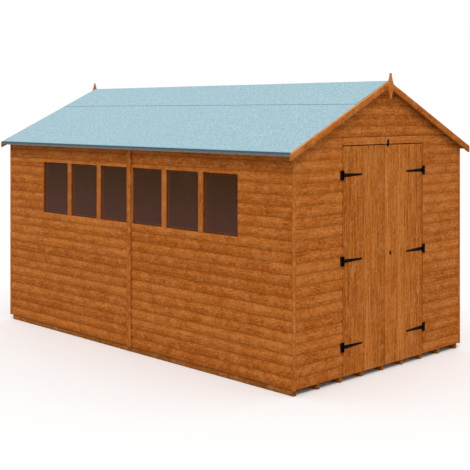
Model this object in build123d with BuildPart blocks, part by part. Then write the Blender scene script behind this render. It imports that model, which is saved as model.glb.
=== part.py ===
"""Apex garden shed with double doors in one gable and a row of six windows in one long wall.

Millimetres. The doors face -Y, the windows face -X and +Z is up. The origin is on the
ground, in the middle of the floor plan.
"""

import os
from math import ceil, cos, radians, tan

from build123d import *

os.makedirs("parts", exist_ok=True)

# Overall sizes, over the cladding
shed_width = 2065
shed_length = 3670
wall_height = 1679
roof_pitch = 25.2

# Timber sections and the gap left between timbers that butt together
stud_width = 28
frame_depth = 44
stud_pitch = 600
fit_gap = 0.3

# Loglap cladding: rounded boards, each lapping the one below at a groove
cladding = 15
board_cover = 79.7
board_groove = 5

# Floor
joist_count = 9
joist_width = 32
joist_height = 46
floor_board = 15
floor_setback = 6

# Window row: three bays each side of the panel joint
window_bays = 3
window_margin = 545
mullion_width = 50
sill_height = 1020
window_head_drop = 197
bead_depth = 15
bead_lip = 20
glass = 4

# Cover strips over the panel joints, and square strips at the corners
cover_width = 50
cover_thickness = 14
corner_strip = 20
corner_round = 3

# Doorway and its two leaves
opening_width = 1006
opening_height = 1695
head_board = 57
head_proud = 2
head_end_gap = 4
hinge_gap = 8
meeting_gap = 8
head_gap = 7
door_board = 13
door_board_count = 6
door_groove = 2
ledge_width = 90
ledge_thickness = 20
ledge_inset = 16
brace_width = 70

# Strap hinges, three to a leaf
hinge_heights = (216, 846, 1476)
hinge_metal = 3
plate_width = 26
plate_height = 70
knuckle_radius = 6
knuckle_length = 30
knuckle_gap = 0.5
pin_radius = 2.5
pin_clearance = 0.08
strap_length = 222
strap_tip = 12

# Rim lock behind the right leaf, and the stop on its face that laps over the head board
keyhole_height = 857
keyhole_inset = 66
keyhole_radius = 5
keyhole_slot_width = 5
keyhole_slot_length = 16
lock_width = 92
lock_height = 60
lock_depth = 20
lock_inset = 10
stop_width = 18
stop_foot = 10
stop_reach = 34
stop_metal = 4
stop_clearance = 5
stop_offset = 36

# Roof: boards, felt, eaves battens, bargeboards and finials
roof_board = 12
eaves_overhang = 70
verge_overhang = 30
felt = 2.5
felt_lip = 30
ridge_felt_cover = 430
felt_lap = 75
batten_width = 20
barge_depth = 48
barge_thickness = 20
barge_overhang = 4
finial_thickness = 16
finial_width = 58
finial_tip_width = 8
finial_spire = 80
finial_body = 34
finial_point = 92
finial_hollow = 3
finial_rise = 60

# Roof timbers
purlin_depth = 44
mid_purlin_offset = 520
truss_depth = 60
tie_height = 70
tie_thickness = 16
tie_rise = 100
tie_setback = 30

# Lines that the pieces share
half_width = shed_width / 2
half_length = shed_length / 2
frame_x = half_width - cladding
frame_y = half_length - cladding
inner_x = frame_x - frame_depth
inner_y = frame_y - frame_depth
floor_top = joist_height + floor_board
eaves_z = joist_height + wall_height
slope = tan(radians(roof_pitch))
lean = cos(radians(roof_pitch))
sill_z = joist_height + sill_height
head_z = eaves_z - window_head_drop
bay_pitch = (frame_y - window_margin + mullion_width / 2) / window_bays
opening_x = opening_width / 2
opening_z = joist_height + opening_height
head_board_z = opening_z + head_board
leaf_top = opening_z - head_gap
leaf_outer_x = opening_x - hinge_gap
leaf_inner_x = meeting_gap / 2
hinge_x = opening_x - hinge_gap / 2
hinge_y = -half_length - knuckle_radius
roof_x = half_width + eaves_overhang
roof_y = half_length + verge_overhang
barge_y = roof_y + barge_thickness


def roof_under(x):
    """Height of the roof boards' underside at a distance x from the middle."""
    return eaves_z + (half_width - abs(x)) * slope


def under_roof_x(z):
    """Distance from the middle at which the roof boards' underside is at height z."""
    return half_width - (z - eaves_z) / slope


def board_top(x):
    """Height of the roof boards' upper face at a distance x from the middle."""
    return roof_under(x) + roof_board / lean


def rafter_low(x):
    """Height of the underside of a gable rafter at a distance x from the middle."""
    return roof_under(x) - stud_width / lean


def finish(part, name):
    """Labels a finished piece and writes its STEP file."""
    part.label = name
    export_step(part, f"parts/{name}.step")


def long_wall_slab(outlines, x_low, x_high):
    """Slabs standing along Y, from their outlines in Y and Z."""
    with BuildPart() as slab:
        with BuildSketch(Plane.YZ.offset(x_low)):
            for outline in outlines:
                Polygon(*outline, align=None)
        extrude(amount=x_high - x_low)
    return slab.part


def gable_slab(outlines, y_low, y_high):
    """Slabs standing along X, from their outlines in X and Z."""
    with BuildPart() as slab:
        with BuildSketch(Plane.XZ.offset(-y_high)):
            for outline in outlines:
                Polygon(*outline, align=None)
        extrude(amount=y_high - y_low)
    return slab.part


def rectangle(low, high):
    """The four corners of an upright rectangle, from its low and high corners."""
    return [low, (high[0], low[1]), high, (low[0], high[1])]


def both_hands(outline):
    """An outline and its mirror image about the middle."""
    return [outline, [(-x, z) for x, z in outline]]


def loglap(outlines, start, outward, length, face):
    """Loglap boards on one wall, trimmed to outlines drawn on the wall's face plane.

    start is the point at the foot of the boards' back, outward the way that they face.
    """
    courses = ceil((roof_under(0) - joist_height) / board_cover)
    section = Plane(start, x_dir=outward, z_dir=Vector(outward).cross(Vector(0, 0, 1)))
    with BuildPart() as skin:
        with BuildSketch(section):
            with BuildLine():
                for course in range(courses):
                    foot = course * board_cover
                    ThreePointArc(
                        (cladding - board_groove, foot),
                        (cladding, foot + board_cover / 2),
                        (cladding - board_groove, foot + board_cover),
                    )
                crown = courses * board_cover
                back = [(0, crown), (0, 0)]
                Polyline((cladding - board_groove, crown), *back, (cladding - board_groove, 0))
            make_face()
        extrude(amount=length)
        with BuildSketch(face):
            for outline in outlines:
                Polygon(*outline, align=None)
        extrude(amount=shed_length, both=True, mode=Mode.INTERSECT)
    return skin.part


# Floor: joists along the shed, boards across them
floor_width = 2 * frame_x
floor_length = 2 * (frame_y - floor_setback)
joist_pitch = (floor_width - joist_width) / (joist_count - 1)

with BuildPart() as floor_joists:
    with BuildSketch():
        with GridLocations(joist_pitch, 0, joist_count, 1):
            Rectangle(joist_width, floor_length)
    extrude(amount=joist_height)
finish(floor_joists.part, "floor_joists")

with BuildPart() as floor_boards:
    with BuildSketch(Plane.XY.offset(joist_height)):
        Rectangle(floor_width, floor_length)
    extrude(amount=floor_board)
finish(floor_boards.part, "floor_boards")

# Long walls: two panels each, meeting at y = 0 under a cover strip
band_end = window_bays * bay_pitch - mullion_width / 2


def left_boards(outlines):
    """Loglap on the window side."""
    return loglap(outlines, (-frame_x, -frame_y, joist_height), (-1, 0, 0), 2 * frame_y, Plane.YZ)


finish(
    left_boards(both_hands(rectangle((fit_gap, joist_height), (frame_y, sill_z)))),
    "left_cladding_below_windows",
)
finish(
    left_boards(both_hands(rectangle((band_end, sill_z), (frame_y, head_z)))),
    "left_cladding_beside_windows",
)
finish(
    left_boards(both_hands(rectangle((fit_gap, head_z), (frame_y, eaves_z)))),
    "left_cladding_above_windows",
)
finish(
    loglap(
        both_hands(rectangle((fit_gap, joist_height), (frame_y, eaves_z))),
        (frame_x, frame_y, joist_height),
        (1, 0, 0),
        2 * frame_y,
        Plane.YZ,
    ),
    "right_cladding",
)

plate_top = roof_under(frame_x)
stud_foot = floor_top + stud_width + fit_gap
stud_head = plate_top - stud_width - fit_gap


def upright(centre, foot, head):
    """Outline of one stud of a long wall."""
    return rectangle((centre - stud_width / 2, foot), (centre + stud_width / 2, head))


def panel_frame(stud_centres):
    """Outlines of one wall panel's plates and studs, on the +Y side of the joint."""
    foot_plate = rectangle((fit_gap, floor_top), (frame_y, floor_top + stud_width))
    head_plate = rectangle((fit_gap, plate_top - stud_width), (frame_y, plate_top))
    return [foot_plate, head_plate] + [upright(y, stud_foot, stud_head) for y in stud_centres]


joint_stud = stud_width / 2 + fit_gap
end_stud = frame_y - stud_width / 2
window_studs = [bay * bay_pitch for bay in range(1, window_bays + 1)]
plain_studs = [stud_pitch * step for step in range(1, int(end_stud / stud_pitch) + 1)]
plain_studs = [y for y in plain_studs if y + stud_width < end_stud]


def bay_edges(bay):
    """The faces of the studs on either side of a window bay, on the +Y side of the joint."""
    first = joint_stud + stud_width / 2 if bay == 0 else bay * bay_pitch + stud_width / 2
    return first + fit_gap, (bay + 1) * bay_pitch - stud_width / 2 - fit_gap


window_frame = panel_frame([joint_stud, *window_studs, end_stud])
for bay in range(window_bays):
    near, far = bay_edges(bay)
    window_frame.append(rectangle((near, sill_z - stud_width), (far, sill_z)))
    window_frame.append(rectangle((near, head_z), (far, head_z + stud_width)))
left_frame = [outline for half in window_frame for outline in both_hands(half)]
finish(long_wall_slab(left_frame, -frame_x, -inner_x), "left_wall_frame")

plain_frame = panel_frame([joint_stud, *plain_studs, end_stud])
right_frame = [outline for half in plain_frame for outline in both_hands(half)]
finish(long_wall_slab(right_frame, inner_x, frame_x), "right_wall_frame")

# Windows: mullion strips in the thickness of the boards, the glass behind them, then beads
mullion_centres = [bay * bay_pitch for bay in range(1 - window_bays, window_bays)]
mullions = [
    rectangle((y - mullion_width / 2, sill_z), (y + mullion_width / 2, head_z))
    for y in mullion_centres
]
finish(long_wall_slab(mullions, -half_width, -frame_x), "window_mullions")

bead_outlines = []
light_outlines = []
for bay in range(window_bays):
    near, far = bay_edges(bay)
    light_near = bay * bay_pitch + mullion_width / 2 + bead_lip
    light_far = (bay + 1) * bay_pitch - mullion_width / 2 - bead_lip
    bead_outlines += both_hands(rectangle((near, sill_z), (far, head_z)))
    light_outlines += both_hands(
        rectangle((light_near, sill_z + bead_lip), (light_far, head_z - bead_lip))
    )
with BuildPart() as window_beads:
    with BuildSketch(Plane.YZ.offset(-frame_x + glass)):
        for outline in bead_outlines:
            Polygon(*outline, align=None)
        for outline in light_outlines:
            Polygon(*outline, align=None, mode=Mode.SUBTRACT)
    extrude(amount=bead_depth)
finish(window_beads.part, "window_beads")

finish(long_wall_slab(bead_outlines, -frame_x, -frame_x + glass), "window_panes")

cover_top = roof_under(half_width + cover_thickness)
cover = [rectangle((-cover_width / 2, joist_height), (cover_width / 2, cover_top))]
finish(long_wall_slab(cover, -half_width - cover_thickness, -half_width), "left_cover_strip")
finish(long_wall_slab(cover, half_width, half_width + cover_thickness), "right_cover_strip")

# Corner strips: square in section, their outer edge rounded
strip_centre_x = frame_x + corner_strip / 2
strip_centre_y = frame_y + corner_strip / 2
with BuildPart() as corner_strips:
    with BuildSketch(Plane.XY.offset(joist_height)):
        with GridLocations(2 * strip_centre_x, 2 * strip_centre_y, 2, 2):
            Rectangle(corner_strip, corner_strip)
    extrude(amount=roof_under(frame_x + corner_strip) - joist_height)
    outer_edges = [
        edge
        for edge in corner_strips.edges().filter_by(Axis.Z)
        if abs(edge.center().X) > strip_centre_x and abs(edge.center().Y) > strip_centre_y
    ]
    fillet(outer_edges, radius=corner_round)
finish(corner_strips.part, "corner_strips")

# Door gable: boards beside the doorway and over it, and a head board between them
gable_x = under_roof_x(head_board_z)
beside_door = [
    (frame_x, joist_height),
    (frame_x, roof_under(frame_x)),
    (gable_x, head_board_z),
    (opening_x, head_board_z),
    (opening_x, joist_height),
]
over_door = [(-gable_x, head_board_z), (gable_x, head_board_z), (0, roof_under(0))]


def front_boards(outline):
    """Loglap on the door gable."""
    return loglap([outline], (frame_x, -frame_y, joist_height), (0, -1, 0), 2 * frame_x, Plane.XZ)


beside_right, beside_left = both_hands(beside_door)
finish(front_boards(beside_left), "front_wall_left")
finish(front_boards(beside_right), "front_wall_right")
finish(front_boards(over_door), "front_gable")

head_half = opening_x - head_end_gap
head_outline = rectangle((-head_half, opening_z), (head_half, head_board_z - fit_gap))
finish(gable_slab([head_outline], -half_length - head_proud, -frame_y), "door_head_board")

back_outline = [
    (-frame_x, joist_height),
    (frame_x, joist_height),
    (frame_x, roof_under(frame_x)),
    (0, roof_under(0)),
    (-frame_x, roof_under(frame_x)),
]
finish(
    loglap([back_outline], (-frame_x, frame_y, joist_height), (0, 1, 0), 2 * frame_x, Plane.XZ),
    "back_wall",
)

# Gable frames: rafters under the roof, studs up to them, plates on the floor
rafter = [
    (fit_gap, roof_under(fit_gap)),
    (inner_x, roof_under(inner_x)),
    (inner_x, rafter_low(inner_x)),
    (fit_gap, rafter_low(fit_gap)),
]


def gable_stud(near, foot):
    """Outline of a gable stud whose face nearest the middle is at near, cut to the rafter."""
    far = near + stud_width
    return [
        (near, foot),
        (far, foot),
        (far, rafter_low(far) - fit_gap),
        (near, rafter_low(near) - fit_gap),
    ]


def king_stud(foot):
    """Outline of the stud under the ridge, its head cut to both rafters."""
    half = stud_width / 2
    shoulder = rafter_low(half) - fit_gap
    return [(-half, foot), (half, foot), (half, shoulder), (0, rafter_low(0) - fit_gap), (-half, shoulder)]


corner_stud = inner_x - stud_width
front_plate = rectangle((opening_x, floor_top), (inner_x, floor_top + stud_width))
front_halves = [
    rafter,
    front_plate,
    gable_stud(opening_x, stud_foot),
    gable_stud(corner_stud, stud_foot),
]
front_frame = [outline for half in front_halves for outline in both_hands(half)]
rail_half = opening_x - fit_gap
front_frame.append(rectangle((-rail_half, opening_z), (rail_half, opening_z + stud_width)))
front_frame.append(king_stud(opening_z + stud_width + fit_gap))
finish(gable_slab(front_frame, -frame_y, -inner_y), "front_wall_frame")

back_halves = [rafter, gable_stud(stud_pitch - stud_width / 2, stud_foot), gable_stud(corner_stud, stud_foot)]
back_frame = [outline for half in back_halves for outline in both_hands(half)]
back_frame.append(rectangle((-inner_x, floor_top), (inner_x, floor_top + stud_width)))
back_frame.append(king_stud(stud_foot))
finish(gable_slab(back_frame, inner_y, frame_y), "back_wall_frame")

# Roof boards, felt that laps over the bargeboards and hangs over the eaves, and eaves battens
felt_rise = felt / lean
boards_rise = roof_board / lean
lip_z = board_top(roof_x) + felt_rise - felt_lip
ridge_felt_x = ridge_felt_cover * lean
lap_x = (ridge_felt_cover - felt_lap) * lean

right_boards = [
    (0, roof_under(0)),
    (roof_x, roof_under(roof_x)),
    (roof_x, board_top(roof_x)),
    (0, board_top(0)),
]
batten_x = roof_x - batten_width
batten = [
    (batten_x, roof_under(batten_x)),
    (batten_x, lip_z),
    (roof_x, lip_z),
    (roof_x, roof_under(roof_x)),
]
felt_x = roof_x + felt
felt_slope = [
    (lap_x, board_top(lap_x)),
    (felt_x, board_top(felt_x)),
    (felt_x, board_top(felt_x) + felt_rise),
    (lap_x, board_top(lap_x) + felt_rise),
]
felt_hang = [
    (roof_x, lip_z),
    (felt_x, lip_z),
    (felt_x, board_top(felt_x)),
    (roof_x, board_top(roof_x)),
]
cap_right = [
    (lap_x, board_top(lap_x)),
    (lap_x, board_top(lap_x) + felt_rise),
    (ridge_felt_x, board_top(ridge_felt_x) + felt_rise),
    (ridge_felt_x, board_top(ridge_felt_x) + 2 * felt_rise),
]
cap = [
    (0, board_top(0)),
    *cap_right,
    (0, board_top(0) + 2 * felt_rise),
    *[(-x, z) for x, z in reversed(cap_right)],
]
for side, index in (("right", 0), ("left", 1)):
    finish(gable_slab([both_hands(right_boards)[index]], -roof_y, roof_y), f"{side}_roof_boards")
    with BuildPart() as roof_felt:
        add(gable_slab([both_hands(felt_slope)[index]], -barge_y, barge_y))
        add(gable_slab([both_hands(felt_hang)[index]], -roof_y, roof_y))
    finish(roof_felt.part, f"{side}_roof_felt")
finish(gable_slab(both_hands(batten), -roof_y, roof_y), "eaves_battens")
finish(gable_slab([cap], -barge_y, barge_y), "ridge_felt")

# Roof timbers: purlins from each gable to a truss over the panel joint
truss_y = frame_depth / 2


def purlin(near):
    """Outline of a purlin whose face nearest the middle is at near."""
    far = near + stud_width
    return [
        (near, roof_under(near)),
        (far, roof_under(far)),
        (far, roof_under(far) - purlin_depth),
        (near, roof_under(near) - purlin_depth),
    ]


purlin_outlines = both_hands(purlin(fit_gap)) + both_hands(purlin(mid_purlin_offset))
with BuildPart() as roof_purlins:
    for start in (-inner_y, truss_y):
        with BuildSketch(Plane.XZ.offset(-start)):
            for outline in purlin_outlines:
                Polygon(*outline, align=None)
        extrude(amount=truss_y - inner_y)
finish(roof_purlins.part, "roof_purlins")

truss_drop = truss_depth / lean
truss_rafter = [
    (fit_gap, roof_under(fit_gap)),
    (inner_x, roof_under(inner_x)),
    (inner_x, roof_under(inner_x) - truss_drop),
    (fit_gap, roof_under(fit_gap) - truss_drop),
]
tie_z = eaves_z + tie_rise
tie_foot_x = under_roof_x(tie_z) - tie_setback
tie_head_x = under_roof_x(tie_z + tie_height) - tie_setback
tie = [
    (-tie_foot_x, tie_z),
    (tie_foot_x, tie_z),
    (tie_head_x, tie_z + tie_height),
    (-tie_head_x, tie_z + tie_height),
]
tie_y = truss_y + fit_gap
with BuildPart() as roof_truss:
    with BuildSketch(Plane.XZ.offset(-truss_y)):
        for outline in both_hands(truss_rafter):
            Polygon(*outline, align=None)
    extrude(amount=2 * truss_y)
    with BuildSketch(Plane.XZ.offset(truss_y + fit_gap)):
        Polygon(*tie, align=None)
    extrude(amount=tie_thickness)
finish(roof_truss.part, "roof_truss")

# Bargeboards under the felt's edge, mitred at the ridge, and a finial in front of each mitre
barge_x = felt_x + barge_overhang
barge_drop = barge_depth / lean
barge = [
    (fit_gap, board_top(fit_gap)),
    (barge_x, board_top(barge_x)),
    (barge_x, board_top(barge_x) - barge_drop),
    (fit_gap, board_top(fit_gap) - barge_drop),
]
finial_y = barge_y + finial_thickness
finial_tip = board_top(0) + finial_rise
shoulder_z = finial_tip - finial_spire
belly_z = shoulder_z - finial_body


def finial(y_low):
    """A spear-shaped board: hollow-sided spire, straight sides and a point below."""
    half = finial_width / 2
    tip = finial_tip_width / 2
    with BuildPart() as board:
        with BuildSketch(Plane.XZ.offset(-y_low - finial_thickness)):
            with BuildLine():
                SagittaArc((half, shoulder_z), (tip, finial_tip), finial_hollow)
                Line((tip, finial_tip), (-tip, finial_tip))
                SagittaArc((-tip, finial_tip), (-half, shoulder_z), finial_hollow)
                Polyline(
                    (-half, shoulder_z),
                    (-half, belly_z),
                    (0, belly_z - finial_point),
                    (half, belly_z),
                    (half, shoulder_z),
                )
            make_face()
        extrude(amount=finial_thickness)
    return board.part


finish(gable_slab(both_hands(barge), -barge_y, -roof_y), "front_bargeboards")
finish(gable_slab(both_hands(barge), roof_y, barge_y), "back_bargeboards")
finish(finial(-finial_y), "front_finial")
finish(finial(barge_y), "back_finial")

# Door leaves: grooved boards, three ledges and two braces behind them
leaf_width = leaf_outer_x - leaf_inner_x
door_board_width = leaf_width / door_board_count
leaf_back = -half_length + door_board
ledge_back = leaf_back + ledge_thickness
lock_far_x = leaf_inner_x + lock_inset + lock_width


def leaf_section(hand):
    """Plan of a leaf's boards, with a V groove in the front at each board joint."""
    front = [(hand * leaf_inner_x, -half_length)]
    for joint in range(1, door_board_count):
        x = leaf_inner_x + joint * door_board_width
        front += [
            (hand * (x - door_groove), -half_length),
            (hand * x, -half_length + door_groove),
            (hand * (x + door_groove), -half_length),
        ]
    front.append((hand * leaf_outer_x, -half_length))
    return front + [(hand * leaf_outer_x, leaf_back), (hand * leaf_inner_x, leaf_back)]


def leaf_boards(hand):
    """The boards of one leaf, before any lock is let in."""
    with BuildPart() as leaf:
        with BuildSketch(Plane.XY.offset(joist_height)):
            Polygon(*leaf_section(hand), align=None)
        extrude(amount=leaf_top - joist_height)
    return leaf.part


def ledges(hand, middle_near_x):
    """Three ledges at the hinge heights and a brace rising from the hinge side of each bay."""
    near_x = leaf_inner_x + ledge_inset
    far_x = leaf_outer_x - ledge_inset
    outlines = []
    for level, height in enumerate(hinge_heights):
        centre = joist_height + height
        start = middle_near_x if level == 1 else near_x
        outlines.append(
            rectangle((start, centre - ledge_width / 2), (far_x, centre + ledge_width / 2))
        )
    for lower, upper in zip(hinge_heights, hinge_heights[1:]):
        foot = joist_height + lower + ledge_width / 2 + fit_gap
        head = joist_height + upper - ledge_width / 2 - fit_gap
        outlines.append(
            [
                (far_x - brace_width, foot),
                (far_x, foot),
                (middle_near_x + brace_width, head),
                (middle_near_x, head),
            ]
        )
    handed = [[(hand * x, z) for x, z in outline] for outline in outlines]
    return gable_slab(handed, leaf_back, ledge_back)


left_near_x = leaf_inner_x + ledge_inset
right_near_x = lock_far_x + fit_gap
finish(leaf_boards(-1), "left_door_boards")
finish(ledges(-1, left_near_x), "left_door_ledges")
finish(ledges(1, right_near_x), "right_door_ledges")

keyhole_x = leaf_inner_x + keyhole_inset
keyhole_z = joist_height + keyhole_height
with BuildPart() as right_door_boards:
    add(leaf_boards(1))
    with BuildSketch(Plane.XZ.offset(-leaf_back)):
        with Locations((keyhole_x, keyhole_z)):
            Circle(keyhole_radius)
        with Locations((keyhole_x, keyhole_z - keyhole_slot_length / 2)):
            Rectangle(keyhole_slot_width, keyhole_slot_length)
    extrude(amount=door_board, mode=Mode.SUBTRACT)
finish(right_door_boards.part, "right_door_boards")

lock_x = leaf_inner_x + lock_inset
lock_outline = rectangle(
    (lock_x, keyhole_z - lock_height / 2), (lock_far_x, keyhole_z + lock_height / 2)
)
finish(gable_slab([lock_outline], leaf_back, leaf_back + lock_depth), "rim_lock")

stop_y = -half_length - head_proud - stop_clearance
stop_low = (stop_offset - stop_width / 2, leaf_top - stop_foot)
stop_foot_high = (stop_offset + stop_width / 2, leaf_top)
stop_high = (stop_offset + stop_width / 2, opening_z + stop_reach)
with BuildPart() as right_door_stop:
    add(gable_slab([rectangle(stop_low, stop_foot_high)], stop_y, -half_length))
    add(gable_slab([rectangle(stop_low, stop_high)], stop_y - stop_metal, stop_y))
finish(right_door_stop.part, "right_door_stop")

# Strap hinges: cross plate, end knuckles and pin on the wall, strap and middle knuckle on the leaf
hinge_levels = [joist_height + height for height in hinge_heights]
end_knuckle = (plate_height - knuckle_length) / 2 - knuckle_gap
plate_near_x = hinge_x + knuckle_radius + knuckle_gap


def hinge_plates(hand):
    """The fixed halves of one leaf's three hinges."""
    with BuildPart() as plates:
        for level in hinge_levels:
            with BuildSketch(Plane.XZ.offset(half_length)):
                with Locations((hand * (plate_near_x + plate_width / 2), level)):
                    Rectangle(plate_width, plate_height)
                for sign in (-1, 1):
                    end_z = level + sign * (plate_height - end_knuckle) / 2
                    tab = plate_near_x - hinge_x + knuckle_radius
                    with Locations((hand * (hinge_x + tab / 2), end_z)):
                        Rectangle(tab, end_knuckle)
            extrude(amount=hinge_metal)
            for foot in (level - plate_height / 2, level + plate_height / 2 - end_knuckle):
                with BuildSketch(Plane.XY.offset(foot)):
                    with Locations((hand * hinge_x, hinge_y)):
                        Circle(knuckle_radius)
                extrude(amount=end_knuckle)
            with BuildSketch(Plane.XY.offset(level - plate_height / 2)):
                with Locations((hand * hinge_x, hinge_y)):
                    Circle(pin_radius)
            extrude(amount=plate_height)
    return plates.part


def hinge_straps(hand):
    """The moving halves of one leaf's three hinges: tapered straps with a round end."""
    tip_radius = strap_tip / 2
    tip_x = hinge_x - strap_length + tip_radius
    with BuildPart() as straps:
        for level in hinge_levels:
            with BuildSketch(Plane.XZ.offset(half_length)):
                Polygon(
                    (hand * hinge_x, level - knuckle_length / 2),
                    (hand * hinge_x, level + knuckle_length / 2),
                    (hand * tip_x, level + tip_radius),
                    (hand * tip_x, level - tip_radius),
                    align=None,
                )
                with Locations((hand * tip_x, level)):
                    Circle(tip_radius)
            extrude(amount=hinge_metal)
            with BuildSketch(Plane.XY.offset(level - knuckle_length / 2)):
                with Locations((hand * hinge_x, hinge_y)):
                    Circle(knuckle_radius)
            extrude(amount=knuckle_length)
            with BuildSketch(Plane.XY.offset(level - knuckle_length / 2)):
                with Locations((hand * hinge_x, hinge_y)):
                    Circle(pin_radius + pin_clearance)
            extrude(amount=knuckle_length, mode=Mode.SUBTRACT)
    return straps.part


for side, hand in (("left", -1), ("right", 1)):
    finish(hinge_plates(hand), f"{side}_hinge_plates")
    finish(hinge_straps(hand), f"{side}_hinge_straps")
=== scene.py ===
"""Looks of a timber apex garden shed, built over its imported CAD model.

Lengths are in metres, in the CAD model's own frame: the doors face -Y, the windows face -X,
+Z is up, and the origin is on the ground in the middle of the floor plan.
"""

import logging
import math
from dataclasses import dataclass, field
from enum import Enum
from typing import Callable, NamedTuple, Optional, Sequence, Union

import bpy
import numpy as np
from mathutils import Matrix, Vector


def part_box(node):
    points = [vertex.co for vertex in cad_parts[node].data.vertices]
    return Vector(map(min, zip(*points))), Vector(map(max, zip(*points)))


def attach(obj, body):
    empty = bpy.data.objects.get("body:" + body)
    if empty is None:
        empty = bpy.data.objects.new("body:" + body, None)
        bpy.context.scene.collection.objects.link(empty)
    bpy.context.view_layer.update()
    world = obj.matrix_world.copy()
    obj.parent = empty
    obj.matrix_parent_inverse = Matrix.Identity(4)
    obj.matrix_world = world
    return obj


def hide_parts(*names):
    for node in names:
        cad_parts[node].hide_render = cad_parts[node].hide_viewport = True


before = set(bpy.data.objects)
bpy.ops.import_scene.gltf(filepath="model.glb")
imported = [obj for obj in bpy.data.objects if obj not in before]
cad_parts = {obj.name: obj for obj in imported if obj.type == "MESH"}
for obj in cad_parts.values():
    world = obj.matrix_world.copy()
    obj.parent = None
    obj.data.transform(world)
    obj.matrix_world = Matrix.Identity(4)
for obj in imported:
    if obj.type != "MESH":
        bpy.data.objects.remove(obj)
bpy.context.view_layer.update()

log = logging.getLogger("shed")
Number = Union[float, "Value"]
Colour = tuple[float, float, float]
Array = np.ndarray
Axes = tuple[Array, Array]
Ends = Sequence[Sequence[float]]
Line = Callable[[Array], Array]

X_AXIS, Y_AXIS, Z_AXIS = np.eye(3)
GABLE = (X_AXIS, Z_AXIS)  # the axes of an outline seen from the doors
PLUMB = (X_AXIS, X_AXIS)  # both ends of a sloping timber cut upright
LEVEL = (Z_AXIS, Z_AXIS)  # both ends of a sloping timber cut level
SIDES = (-1, 1)
CORNERS = np.array([[-1, -1], [1, -1], [1, 1], [-1, 1]])
SLACK = 1e-6
TUBE_TURNS = 24
GRAIN_SPREAD = np.array([20.0, 3.0])  # how far apart boards read the grain, along and across


def srgb(red: int, green: int, blue: int) -> Colour:
    """The linear colour that shaders use for an 8-bit display colour."""
    part = np.array([red, green, blue]) / 255.0
    linear = np.where(part <= 0.04045, part / 12.92, ((part + 0.055) / 1.055) ** 2.4)
    return tuple(float(c) for c in linear)


def tint(colour: Colour, *shares: float) -> Colour:
    """A colour times one share, or times a share for each part, held to 1."""
    shares = shares * (len(colour) // len(shares))
    return tuple(min(1.0, part * share) for part, share in zip(colour, shares))


# Shader expressions


class Value:
    """A number that a shader works out: arithmetic on it adds Math nodes."""

    def __init__(self, graph: "Graph", socket: bpy.types.NodeSocket) -> None:
        """Wraps one output socket of a graph."""
        self.graph, self.socket = graph, socket

    def _math(self, operation: str, first: Number, second: Number) -> "Value":
        """One Math node on two numbers or values."""
        return self.graph.node("ShaderNodeMath", {"operation": operation}, {0: first, 1: second})

    def __add__(self, other: Number) -> "Value":
        """self + other."""
        return self._math("ADD", self, other)

    __radd__ = __add__

    def __sub__(self, other: Number) -> "Value":
        """self - other."""
        return self._math("SUBTRACT", self, other)

    def __rsub__(self, other: Number) -> "Value":
        """other - self."""
        return self._math("SUBTRACT", other, self)

    def __mul__(self, other: Number) -> "Value":
        """self * other."""
        return self._math("MULTIPLY", self, other)

    __rmul__ = __mul__

    def __gt__(self, other: Number) -> "Value":
        """1 where self is above other, else 0."""
        return self._math("GREATER_THAN", self, other)

    def beside(self, output: str) -> "Value":
        """Another output of the node that gives this value."""
        return Value(self.graph, self.socket.node.outputs[output])

    def sine(self) -> "Value":
        """The sine of this value."""
        return self._math("SINE", self, 0.0)

    def ramp(self, low: float, high: float) -> "Value":
        """A smooth step from 0 at low to 1 at high, falling where high is below low."""
        return self.graph.node(
            "ShaderNodeMapRange",
            {"interpolation_type": "SMOOTHSTEP", "clamp": True},
            {"Value": self, "From Min": low, "From Max": high},
        )


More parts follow.
